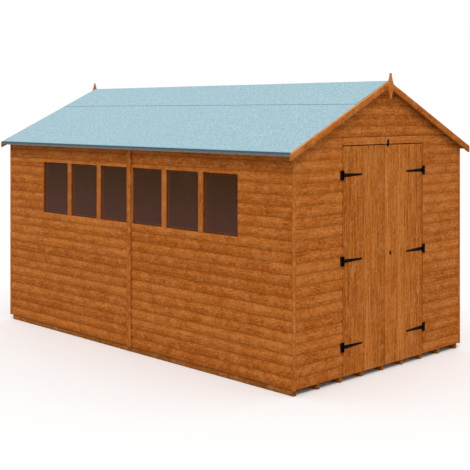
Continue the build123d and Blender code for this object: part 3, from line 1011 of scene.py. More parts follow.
@dataclass
class LogLap(Assembly):
    """Log-lap boards: rounded faces, each board's lip lapping the tongue of the one below.

    long_painted_light and gable_painted_light give the share of a board's height where it is
    painted lightest, and how dark its laps are painted as shade.
    """

    seed: int = 11
    cover: float = 0.0797
    groove: float = 0.005
    roundness: float = 2.3
    points: int = 11
    tongue: float = 0.0062
    rebate: float = 0.008
    notch_clear: float = 0.0007
    lip_clear: float = 0.0005
    line_gap: float = 0.0004
    lap_foot: float = 0.1
    lap_head: float = 0.07
    # painted light: the share of a board's height painted lightest, and how dark its laps are
    # painted as shade
    long_painted_light: tuple[float, float] = (0.74, 0.9)
    gable_painted_light: tuple[float, float] = (0.5, 0.65)
    least_height: float = 0.004
    least_length: float = 0.001
    least_rake: float = 0.002
    inset: float = 0.0006
    apex_gap: float = 0.0015
    nail: Head = Head(0.0024, 0.001, 6)
    nail_share: float = 0.34
    nail_sink: float = 0.0008
    nail_margin: float = 0.03

    def section(self, low: float, high: float, foot: float) -> tuple[Array, Array]:
        """A board's section between two heights of its course.

        The face stands out by t - g * |2 f - 1| ^ r at the share f of the course's height, with
        t the board's thickness, g the groove and r the roundness. A whole top edge ends in a
        tongue and a whole lower edge in a lip that clears it.

        Args:
            low: Lower height of the board.
            high: Upper height of the board.
            foot: Height of the course's foot.

        Returns:
            The outline, anticlockwise, and each point's lap value, painted shade at its foot and
            head.
        """
        at = self.lines
        first, crown = low, high + self.rebate
        bottom, top = [(0.0, low)], [(0.0, high)]
        if low <= foot + SLACK and foot > at.ground_z + SLACK:
            first = low + self.line_gap
            notch, lip = self.tongue + self.notch_clear, low + self.rebate + self.lip_clear
            bottom = [(0.0, lip), (notch, lip), (notch, first)]
        if high >= foot + self.cover - SLACK:
            top = [(self.tongue, high), (self.tongue, crown), (0.0, crown)]
        heights = np.linspace(first, high, self.points)
        share = (heights - foot) / self.cover
        face = at.half_width - at.frame_x - self.groove * np.abs(2 * share - 1) ** self.roundness
        # painted shade in the laps, darkest at the board's foot and head
        lap = np.maximum(1 - share / self.lap_foot, 1 - (1 - share) / self.lap_head).clip(0.0, 1.0)
        outline = np.concatenate([bottom, np.stack([face, heights], axis=1), top])
        return outline, np.concatenate([np.ones(len(bottom)), lap, np.ones(len(top))])

    def courses(self, low: float, high: float) -> list[tuple[float, float, float]]:
        """The boards between two heights: lower edge, upper edge and course foot of each."""
        ground = self.lines.ground_z
        first = int((low - ground + SLACK) / self.cover)
        last = math.ceil((high - ground - SLACK) / self.cover)
        feet = ground + self.cover * np.arange(first, last)
        return [(max(low, foot), min(high, foot + self.cover), foot) for foot in feet]

    def lay(self, mesh: Mesh, wall: Wall, low: float, high: float, near: Line, far: Line) -> None:
        """Lays the boards of one panel.

        Args:
            mesh: Where the boards go.
            wall: The wall.
            low: Foot of the panel.
            high: Top of the panel.
            near: Where a board starts along the wall, by height.
            far: Where a board ends along the wall, by height.
        """
        back = self.lines.frame_x if wall.long else self.lines.frame_y
        highlight_share, joint_shade = self.long_painted_light if wall.long else self.gable_painted_light
        for board_low, board_high, foot in self.courses(low, high):
            if board_high - board_low < self.least_height:
                continue
            outline, lap = self.section(board_low, board_high, foot)
            outline[:, 1] = heights = np.minimum(outline[:, 1], high)
            starts = near(heights)
            ends = np.maximum(far(heights), starts + self.least_length)
            origin = wall.out * (back - self.rng.random() * self.inset)
            share = (heights - foot) / self.cover
            # rise is painted light: lightest at highlight_share, painted shade towards both edges
            rise = np.interp(share, [0.0, highlight_share, 1.0], [-1.0, 1.0, -1.0])
            axes = (wall.out, Z_AXIS)
            mesh.sweep(outline, axes, origin, starts, ends, lap=lap * joint_shade, rise=rise)

    @staticmethod
    def level(place: float) -> Line:
        """An end that is the same at every height."""
        return lambda z: np.full(len(z), place)

    def build(self) -> None:
        """Boards every wall, one object for each CAD node, and nails the boards."""
        at = self.lines
        joint, beside = 2 * at.gap, Windows(at).band_end
        panels = [
            ("left_cladding_below_windows", Wall.LEFT, at.ground_z, at.sill_z, joint),
            ("left_cladding_above_windows", Wall.LEFT, at.head_z, at.eaves_z, joint),
            ("right_cladding", Wall.RIGHT, at.ground_z, at.eaves_z, joint),
            ("left_cladding_beside_windows", Wall.LEFT, at.sill_z, at.head_z, beside),
        ]
        for node, wall, low, high, start in panels:
            mesh = self.mesh()
            for side in SIDES:
                near, far = sorted((side * start, side * at.frame_y))
                self.lay(mesh, wall, low, high, self.level(near), self.level(far))
            mesh.build(f"{node}_boards", Finish.WALL, node)
        self.gables()
        self.nails()

    def gables(self) -> None:
        """Boards both gables, their ends cut to the roof."""
        at = self.lines

        def rake(z: Array) -> Array:
            """Half of the gable's width at each height."""
            return np.minimum(at.frame_x, at.under_x(z)).clip(self.least_rake)

        def minus_rake(z: Array) -> Array:
            """The other end of the gable's width."""
            return -rake(z)

        opening, minus_opening = self.level(at.opening_x), self.level(-at.opening_x)
        low, head, apex = at.ground_z, at.head_board_z, at.under(0.0) - self.apex_gap
        panels = [
            ("front_wall_left", Wall.FRONT, low, head, opening, rake),
            ("front_wall_right", Wall.FRONT, low, head, minus_rake, minus_opening),
            ("front_gable", Wall.FRONT, head, apex, minus_rake, rake),
            ("back_wall", Wall.BACK, low, apex, minus_rake, rake),
        ]
        for node, *panel in panels:
            mesh = self.mesh()
            self.lay(mesh, *panel)
            mesh.build(f"{node}_boards", Finish.WALL, node)

    def nails(self) -> None:
        """Nail heads where boards cross studs: head (i, j) is at stud j along the wall and at a
        third of course i's height, left out where the wall has an opening or ends."""
        at = self.lines
        row, pitch = Windows(at), Framing(at).stud_pitch
        corner, end = at.inner_x - at.stud / 2, at.frame_y - at.stud / 2
        studs = {
            Wall.LEFT: [*row.studs, end],
            Wall.RIGHT: [pitch, 2 * pitch, end],
            Wall.FRONT: [0.0, at.opening_x + at.stud / 2, corner],
            Wall.BACK: [0.0, pitch, corner],
        }
        feet = at.ground_z + self.cover * np.arange(int((at.under(0.0) - at.ground_z) / self.cover))
        mesh = self.mesh()
        for wall, stations in studs.items():
            both = np.unique(np.concatenate([stations, -np.array(stations)]))
            place, height = np.meshgrid(both, feet + self.cover * self.nail_share)
            keep = height < (at.eaves_z if wall.long else at.under(place)) - self.nail_margin
            if wall is Wall.LEFT:
                keep &= (height < at.sill_z) | (height > at.head_z)
            if wall is Wall.FRONT:
                keep &= (np.abs(place) > at.opening_x) | (height > at.head_board_z)
            back = at.frame_x if wall.long else at.frame_y
            face = back + (at.half_width - at.frame_x) - self.nail_sink
            heads = np.stack([place[keep], height[keep]], axis=1)
            places = wall.out * face + flat(heads, (wall.along, Z_AXIS))
            mesh.domes(places, wall.out, self.nail)
        mesh.build("cladding_nail_heads", Finish.IRON)


@dataclass
class Windows(Assembly):
    """The window row: mullions, beads and glass."""

    seed: int = 23
    bays: int = 3
    pitch: float = 0.43333
    mullion: float = 0.050
    mullion_ease: float = 0.002
    glass: float = 0.004
    bead_depth: float = 0.015
    bead_lip: float = 0.020
    bead_ease: float = 0.001
    bead_shade_tone: float = -0.6
    arris: float = 0.005
    arris_highlight_tone: float = 2.6

    @property
    def band_end(self) -> float:
        """How far the window row reaches from the panel joint."""
        return self.bays * self.pitch - self.mullion / 2

    @property
    def studs(self) -> list[float]:
        """Distances of the row's studs from the panel joint."""
        return [self.pitch * bay for bay in range(1, self.bays + 1)]

    def opening(self, bay: int) -> tuple[float, float]:
        """Where the frame's opening in one bay starts and ends, from the panel joint."""
        at = self.lines
        near = at.stud + 2 * at.gap if bay == 0 else bay * self.pitch + at.stud / 2 + at.gap
        return near, (bay + 1) * self.pitch - at.stud / 2 - at.gap

    def build(self) -> None:
        """Builds the mullions and beads, and dresses the glass."""
        at = self.lines
        thick, middle = at.half_width - at.frame_x, -(at.half_width + at.frame_x) / 2
        mesh = self.mesh()
        for bay in range(1 - self.bays, self.bays):
            ends = span(2, at.sill_z, at.head_z, middle, bay * self.pitch)
            mesh.timber(ends, Y_AXIS, self.mullion, thick, radius=self.mullion_ease)
        mesh.build("window_mullion_strips", Finish.TRIM, "window_mullions")
        mesh = self.mesh()
        for bay in range(self.bays):
            for side in SIDES:
                self.beads(mesh, bay, side)
        mesh.build("window_bead_strips", Finish.TRIM, "window_beads")
        Finish.GLASS.dress(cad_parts["window_panes"])

    def beads(self, mesh: Mesh, bay: int, side: int) -> None:
        """Four beads round one pane, darkened as painted shade, the upright ones with a pale arris
        that is a painted highlight.

        Args:
            mesh: Where the beads go.
            bay: The bay, counted from the panel joint.
            side: -1 for the door end, 1 for the back.
        """
        at = self.lines
        lip, depth, arris = self.bead_lip, self.bead_depth, self.arris
        # painted shade on the beads through lap and a low tone, and a painted highlight on the
        # arris
        dark = {"radius": self.bead_ease, "lap": 1.0, "tone": self.bead_shade_tone}
        pale = {"radius": self.bead_ease, "tone": self.arris_highlight_tone}
        first, last = self.opening(bay)
        near = bay * self.pitch + self.mullion / 2 + lip
        far = (bay + 1) * self.pitch - self.mullion / 2 - lip
        x = -at.frame_x + self.glass + depth / 2
        low, high = at.sill_z, at.head_z
        for outer, inner, sign in ((first, near, 1), (last, far, -1)):
            meet = inner - sign * arris
            ends = span(2, low, high, x, side * (outer + meet) / 2)
            mesh.timber(ends, Y_AXIS, abs(meet - outer), depth, **dark)
            ends = span(2, low + lip, high - lip, x, side * (inner - sign * arris / 2))
            mesh.timber(ends, Y_AXIS, arris, depth, **pale)
        for z in (low + lip / 2, high - lip / 2):
            ends = span(1, side * (near - arris), side * (far + arris), x, z)
            mesh.timber(ends, Z_AXIS, lip, depth, **dark)


@dataclass
class Framing(Assembly):
    """Studs, plates and rails behind the boards, and the strips on the outside."""

    seed: int = 31
    stud_pitch: float = 0.6
    cover_width: float = 0.05
    cover_depth: float = 0.014
    cover_ease: float = 0.0025
    strip: float = 0.020
    strip_ease: float = 0.0035
    head_ease: float = 0.003

    def build(self) -> None:
        """Builds the four wall frames and the strips."""
        self.long_walls()
        self.gables()
        self.strips()

    def panel(self, mesh: Mesh, x: float, side: int, studs: Sequence[float]) -> None:
        """Plates and studs of one long wall panel.

        Args:
            mesh: Where the timbers go.
            x: Middle of the frame's depth.
            side: -1 for the door end, 1 for the back.
            studs: Distances of the studs' middles from the panel joint.
        """
        at = self.lines
        for z in (at.floor_top + at.stud / 2, at.plate_top - at.stud / 2):
            ends = span(1, side * at.gap, side * at.frame_y, x, z)
            mesh.timber(ends, X_AXIS, at.depth, at.stud)
        foot, head = at.floor_top + at.stud + at.gap, at.plate_top - at.stud - at.gap
        for y in studs:
            mesh.timber(span(2, foot, head, x, side * y), X_AXIS, at.depth, at.stud)

    def long_walls(self) -> None:
        """The window wall's frame with its sill and head rails, and the plain wall's frame."""
        at = self.lines
        row = Windows(at)
        joint, last = at.stud / 2 + at.gap, at.frame_y - at.stud / 2
        middle = (at.frame_x + at.inner_x) / 2
        mesh = self.mesh()
        for side in SIDES:
            self.panel(mesh, -middle, side, [joint, *row.studs, last])
            for near, far in (row.opening(bay) for bay in range(row.bays)):
                for z in (at.sill_z - at.stud / 2, at.head_z + at.stud / 2):
                    ends = span(1, side * near, side * far, -middle, z)
                    mesh.timber(ends, X_AXIS, at.depth, at.stud)
        mesh.build("left_wall_frame_timbers", Finish.FRAME, "left_wall_frame")
        mesh = self.mesh()
        plain = self.stud_pitch * np.arange(1, int(last / self.stud_pitch) + 1)
        for side in SIDES:
            self.panel(mesh, middle, side, [joint, *plain[plain + at.stud < last], last])
        mesh.build("right_wall_frame_timbers", Finish.FRAME, "right_wall_frame")

    def rafters(self, mesh: Mesh, y: float, depth: float) -> None:
        """Two rafters under the roof boards, plumb cut at the ridge and the wall.

        Args:
            mesh: Where the rafters go.
            y: Middle of their thickness.
            depth: Their depth, square to the slope.
        """
        at = self.lines
        drop = depth / at.lean / 2
        for side in SIDES:
            ends = [(side * x, y, at.under(x) - drop) for x in (at.gap, at.inner_x)]
            mesh.timber(ends, Y_AXIS, at.depth, depth, PLUMB)

    def gables(self) -> None:
        """The frames of both gables: studs cut to the rafters, plates, and a king post."""
        at = self.lines
        half, clear = at.stud / 2, at.stud / at.lean + at.gap
        foot = at.floor_top + at.stud + at.gap
        head_rail = at.opening_x - at.gap
        for node, way in (("front_wall_frame", -1), ("back_wall_frame", 1)):
            mesh = self.mesh()
            y = way * (at.frame_y + at.inner_y) / 2
            self.rafters(mesh, y, at.stud)
            if way < 0:
                inner, king_foot = at.opening_x + half, at.opening_z + at.stud + at.gap
                rails = [
                    (at.opening_x, at.inner_x, at.floor_top + half),
                    (-at.inner_x, -at.opening_x, at.floor_top + half),
                    (-head_rail, head_rail, at.opening_z + half),
                ]
            else:
                inner, king_foot = self.stud_pitch, foot
                rails = [(-at.inner_x, at.inner_x, at.floor_top + half)]
            for side in SIDES:
                for x in (inner, at.inner_x - half):
                    ends = span(2, foot, at.under(x) - clear, side * x, y)
                    mesh.timber(ends, X_AXIS, at.stud, at.depth, (None, at.normal(side)))
            for start, end, z in rails:
                mesh.timber(span(0, start, end, y, z), Y_AXIS, at.depth, at.stud)
            ends = span(2, king_foot, at.under(half) - clear, 0.0, y)
            mesh.timber(ends, X_AXIS, at.stud, at.depth)
            mesh.build(f"{node}_timbers", Finish.FRAME, node)

    def strips(self) -> None:
        """Cover strips over the panel joints, square strips at the corners and the head board."""
        at = self.lines
        for node in ("left_cover_strip", "right_cover_strip"):
            low, high, middle, _ = box(node)
            mesh = self.mesh()
            ends = span(2, low[2], high[2], middle[0], 0.0)
            size = self.cover_width, self.cover_depth
            mesh.timber(ends, Y_AXIS, *size, radius=self.cover_ease)
            mesh.build(f"{node}_batten", Finish.TRIM, node)
        low, high, _, _ = box("corner_strips")
        mesh = self.mesh()
        for x in SIDES:
            for y in SIDES:
                place = x * (at.frame_x + self.strip / 2), y * (at.frame_y + self.strip / 2)
                ends = span(2, low[2], high[2], *place)
                mesh.timber(ends, X_AXIS, self.strip, self.strip, radius=self.strip_ease)
        mesh.build("corner_strip_battens", Finish.TRIM, "corner_strips")
        low, high, middle, size = box("door_head_board")
        mesh = self.mesh()
        ends = span(0, low[0], high[0], middle[1], middle[2])
        mesh.timber(ends, Z_AXIS, size[2], size[1], radius=self.head_ease)
        mesh.build("door_head_board_rail", Finish.TRIM, "door_head_board")


@dataclass
class Floor(Assembly):
    """Joists and floor boards."""

    seed: int = 43
    joists: int = 9
    joist_width: float = 0.032
    joist_ease: float = 0.0022
    board: float = 0.119
    board_gap: float = 0.0008

    def build(self) -> None:
        """Builds the joists and lays the boards across them."""
        low, high, middle, size = box("floor_joists")
        mesh = self.mesh()
        reach = high[0] - self.joist_width / 2
        for x in np.linspace(-reach, reach, self.joists):
            ends = span(1, low[1], high[1], x, middle[2])
            mesh.timber(ends, X_AXIS, self.joist_width, size[2], radius=self.joist_ease)
        mesh.build("floor_joist_timbers", Finish.FRAME, "floor_joists")
        low, high, middle, size = box("floor_boards")
        mesh = self.mesh()
        rows, width = laid(low[1], high[1], self.board)
        for y in rows:
            ends = span(0, low[0], high[0], y, middle[2])
            mesh.timber(ends, Y_AXIS, width - self.board_gap, size[2])
        mesh.build("floor_board_planks", Finish.FRAME, "floor_boards")


@dataclass
class Roof(Assembly):
    """Roof boards, timbers, felt, eaves battens, bargeboards and finials.

    bend_shade and lip_darkening are how dark the felt is painted from the start to the end of its
    bend, painted shade, and of its lip, a darker grey-brown, and ridge_soft is how deep and how
    wide the felt's ridge is rounded off.
    """

    seed: int = 59
    board: float = 0.012
    board_width: float = 0.1
    board_gap: float = 0.0006
    purlin_depth: float = 0.044
    mid_purlin: float = 0.520
    truss_depth: float = 0.060
    tie_rise: float = 0.1
    tie_height: float = 0.07
    tie_depth: float = 0.016
    tie_setback: float = 0.03
    batten_width: float = 0.02
    felt: float = 0.0025
    felt_sharp: float = 60.0
    lip: float = 0.030
    lip_clear: float = 0.004
    ridge_cover: float = 0.430
    lap: float = 0.075
    lap_ease: float = 0.01
    bed_share: float = 0.9
    verge_back: float = 0.014
    slope_steps: int = 30
    bend_steps: int = 6
    bend_fan: float = 0.0001
    bend_shade: tuple[float, float] = (0.08, 0.3)
    lip_darkening: tuple[float, float] = (0.36, 1.0)
    ridge_steps: int = 41
    ridge_soft: tuple[float, float] = (0.0036, 0.02)
    stations: int = 90
    ripple_height: float = 0.00028
    ripple_sink: float = 0.0006
    clout: Head = Head(0.0032, 0.001, 8)
    clout_pitch: float = 0.15
    clout_inset: float = 0.009
    barge_depth: float = 0.048
    barge_over: float = 0.004
    barge_ease: float = 0.003
    barge_highlight: float = 8.0
    finial_tip: float = 0.004
    finial_hollow: float = 0.0028
    finial_spire: float = 0.080
    finial_body: float = 0.034
    finial_bevel: float = 0.003
    finial_steps: int = 12
    finial_tone: float = 1.2

    WAVES = ((1.0, 4.1, 2.3, 0.0), (0.7, 9.7, -5.1, 1.3), (0.5, 17.0, 11.0, 0.6))

    def build(self) -> None:
        """Builds every roof piece."""
        self.boards()
        self.timbers()
        self.battens()
        self.felts()
        self.bargeboards()
        for node in ("front_finial", "back_finial"):
            self.finial(node)

    def top(self, x: Union[float, Array]) -> Union[float, Array]:
        """Height of the roof boards' upper face at a distance x from the middle."""
        return self.lines.under(x) + self.board / self.lines.lean

    def boards(self) -> None:
        """Boards laid down each slope, side by side from gable to gable."""
        at = self.lines
        rows, width = laid(-at.roof_y, at.roof_y, self.board_width)
        half = self.board / at.lean / 2
        for side, node in zip(SIDES, ("left_roof_boards", "right_roof_boards")):
            mesh = self.mesh()
            for y in rows:
                ends = [(side * x, y, at.under(x) + half) for x in (0.0, at.roof_x)]
                mesh.timber(ends, Y_AXIS, width - self.board_gap, self.board, PLUMB)
            mesh.build(f"{node}_planks", Finish.FRAME, node)

    def timbers(self) -> None:
        """Purlins from gable to truss, and the truss with its tie over the panel joint."""
        at = self.lines
        truss_y, depth = at.depth / 2, self.purlin_depth
        mesh = self.mesh()
        for side in SIDES:
            for near in (at.gap, self.mid_purlin):
                far = near + at.stud
                inner, outer = at.under(near), at.under(far)
                corners = [(near, inner - depth), (far, outer - depth), (far, outer), (near, inner)]
                for start, end in ((-at.inner_y, -truss_y), (truss_y, at.inner_y)):
                    mesh.sweep(handed(corners, side), GABLE, np.zeros(3), -end, -start)
        mesh.build("roof_purlin_timbers", Finish.FRAME, "roof_purlins")
        mesh = self.mesh()
        Framing(at).rafters(mesh, 0.0, self.truss_depth)
        y = -truss_y - at.gap - self.tie_depth / 2
        z = at.eaves_z + self.tie_rise + self.tie_height / 2
        half = at.under_x(z) - self.tie_setback
        cuts = at.normal(-1), at.normal(1)
        mesh.timber(span(0, -half, half, y, z), Z_AXIS, self.tie_height, self.tie_depth, cuts)
        mesh.build("roof_truss_timbers", Finish.FRAME, "roof_truss")

    def battens(self) -> None:
        """A batten along each eaves edge, its top bevelled to the slope."""
        at = self.lines
        low_z = box("eaves_battens")[0][2]
        outer, inner = at.roof_x, at.roof_x - self.batten_width
        top = [(x, at.under(x)) for x in (outer, inner)]
        corners = [(inner, low_z), (outer, low_z), *top]
        mesh = self.mesh()
        for side in SIDES:
            mesh.sweep(handed(corners, side), GABLE, np.zeros(3), -at.roof_y, at.roof_y)
        mesh.build("eaves_batten_strips", Finish.FRAME, "eaves_battens")

    def ripple(self, verts: Array) -> Array:
        """A slack sheet's height: waves c * sin(a * y + b * x + p) along and down the roof."""
        x, y = verts[:, 0], verts[:, 1]
        return sum(c * np.sin(y * a + x * b + p) for c, a, b, p in self.WAVES)

    def sheet(self, node: str, outer: Array, inner: Array, lip: Array, reach: Array) -> None:
        """A felt sheet between two lines of its section, carried from gable to gable.

        Args:
            node: The CAD node that it stands for.
            outer: The weather face's section, x and z.
            inner: The underside's section, the same way and as long.
            lip: How dark each point is painted: painted shade on the bend, a darker grey-brown down
                the lip.
            reach: How far each point of the section reaches towards both gables.
        """
        outline = np.concatenate([outer, inner[::-1]])
        darkened = np.concatenate([lip, np.ones(len(inner))])
        moves = np.concatenate([lip == 0.0, np.zeros(len(inner))])
        ends = np.concatenate([reach, reach[::-1]])
        after = np.roll(outline, -1, axis=0)
        turned = outline[:, 0] * after[:, 1] - after[:, 0] * outline[:, 1]
        if turned.sum() < 0:
            outline, darkened, moves, ends = outline[::-1], darkened[::-1], moves[::-1], ends[::-1]

        def slack(verts: Array) -> Array:
            """Lets the weather face ripple within its thickness."""
            height = self.ripple(verts) * self.ripple_height - self.ripple_sink
            verts[:, 2] += height * np.tile(moves, self.stations)
            return verts

        mesh = self.mesh()
        mesh.sweep(outline, GABLE, np.zeros(3), -ends, ends, self.stations, bend=slack, lip=darkened)
        mesh.build(f"{node}_sheet", Finish.FELT, node, sharp=self.felt_sharp)

    def felts(self) -> None:
        """A sheet on each slope, bent down over the eaves and nailed, and one over the ridge."""
        at, steps = self.lines, self.bend_steps
        rise = self.felt / at.lean
        verge = box("ridge_felt")[1][1] - self.verge_back
        lap_x, cap_x = (self.ridge_cover - self.lap) * at.lean, self.ridge_cover * at.lean
        lip_z = self.top(at.roof_x) + rise - self.lip
        down = np.linspace(lap_x, at.roof_x, self.slope_steps)
        bed = np.stack([down, self.top(down)], axis=1)
        slope, edge_point = bed[:-1], bed[-1]
        turn = np.linspace(math.pi / 2 - at.pitch, 0.0, steps)
        bend = edge_point + self.felt * np.stack([np.cos(turn), np.sin(turn)], axis=1)
        drop = np.linspace(bend[-1, 1] - self.lip_clear, lip_z, steps)
        hang, under = (
            np.stack([np.full(steps, x), drop], axis=1) for x in (at.roof_x + self.felt, at.roof_x)
        )
        fold = edge_point - np.outer(np.arange(steps), (0.0, self.bend_fan))
        outer = np.concatenate([slope + at.normal(1)[[0, 2]] * self.felt, bend, hang])
        inner = np.concatenate([slope, fold, under])
        # painted shade along the bend, then a darker grey-brown down the lip
        darkened = [np.linspace(*limits, steps) for limits in (self.bend_shade, self.lip_darkening)]
        lip = np.concatenate([np.zeros(len(slope)), *darkened])
        reach = np.full(len(outer), verge)
        reach[-steps:] = at.roof_y
        for side, node in zip(SIDES, ("left_roof_felt", "right_roof_felt")):
            self.sheet(node, outer * (side, 1), inner * (side, 1), lip, reach)
        mesh = self.mesh()
        run = np.arange(-at.roof_y + self.clout_pitch / 2, at.roof_y, self.clout_pitch)
        nail_z = np.full(len(run), lip_z + self.clout_inset)
        for side in SIDES:
            nail_x = np.full(len(run), side * (at.roof_x + self.felt))
            mesh.domes(np.stack([nail_x, run, nail_z], axis=1), side * X_AXIS, self.clout)
        mesh.build("felt_clout_heads", Finish.IRON)
        across = np.linspace(-cap_x, cap_x, self.ridge_steps)
        depth, spread = self.ridge_soft
        over = self.top(across) + 2 * rise - depth * np.exp(-((across / spread) ** 2))
        beds = self.top(across) + rise
        beds[np.abs(across) < lap_x - self.lap_ease] -= rise * self.bed_share
        outer, inner = np.stack([across, over], axis=1), np.stack([across, beds], axis=1)
        self.sheet("ridge_felt", outer, inner, np.zeros(len(across)), np.full(len(across), verge))

    def bargeboards(self) -> None:
        """Two boards on each gable, plumb cut at the eaves and mitred at the ridge, with a painted
        highlight along the upper edges over the doors."""
        at = self.lines
        drop = self.barge_depth / at.lean / 2
        end_x = at.roof_x + self.felt + self.barge_over
        for node, top_highlight in (("front_bargeboards", self.barge_highlight), ("back_bargeboards", 0.0)):
            _, _, middle, size = box(node)
            mesh = self.mesh()
            for side in SIDES:
                ends = [(side * x, middle[1], self.top(x) - drop) for x in (at.gap, end_x)]
                # painted highlight along the upward face of the front bargeboards
                wear_and_highlight = at.normal(side) * top_highlight
                section = size[1], self.barge_depth
                mesh.timber(ends, Y_AXIS, *section, PLUMB, self.barge_ease, wear_and_highlight=wear_and_highlight)
            mesh.build(f"{node}_pair", Finish.TRIM, node)

    def finial(self, node: str) -> None:
        """A spear-shaped board: a hollow-sided spire, straight sides and a point below.

        Half the width is w at the shoulder, falls to t at the tip as
        w + (t - w) * s - 4 h s (1 - s) with s from shoulder to tip and h the hollow, holds at w
        down to the belly, and falls to 0 at the lower point.

        Args:
            node: The CAD node that it stands for.
        """
        low, high, _, size = box(node)
        half, tip = size[0] / 2, self.finial_tip
        share = np.linspace(0.0, 1.0, self.finial_steps)
        width = half + (tip - half) * share - 4 * self.finial_hollow * share * (1 - share)
        shoulder = high[2] - self.finial_spire
        right = np.stack([width, shoulder + self.finial_spire * share], axis=1)
        belly = shoulder - self.finial_body
        foot = [(-half, belly), (0.0, low[2]), (half, belly)]
        outline = np.concatenate([right, handed(right, -1), foot])
        front = node.startswith("front")
        origin = (0.0, high[1] if front else low[1], 0.0)
        axes = GABLE if front else (-X_AXIS, Z_AXIS)
        mesh = self.mesh()
        mesh.plate(outline, axes, origin, size[1], self.finial_bevel, 1, self.finial_tone)
        mesh.build(f"{node}_spear", Finish.TRIM, node)


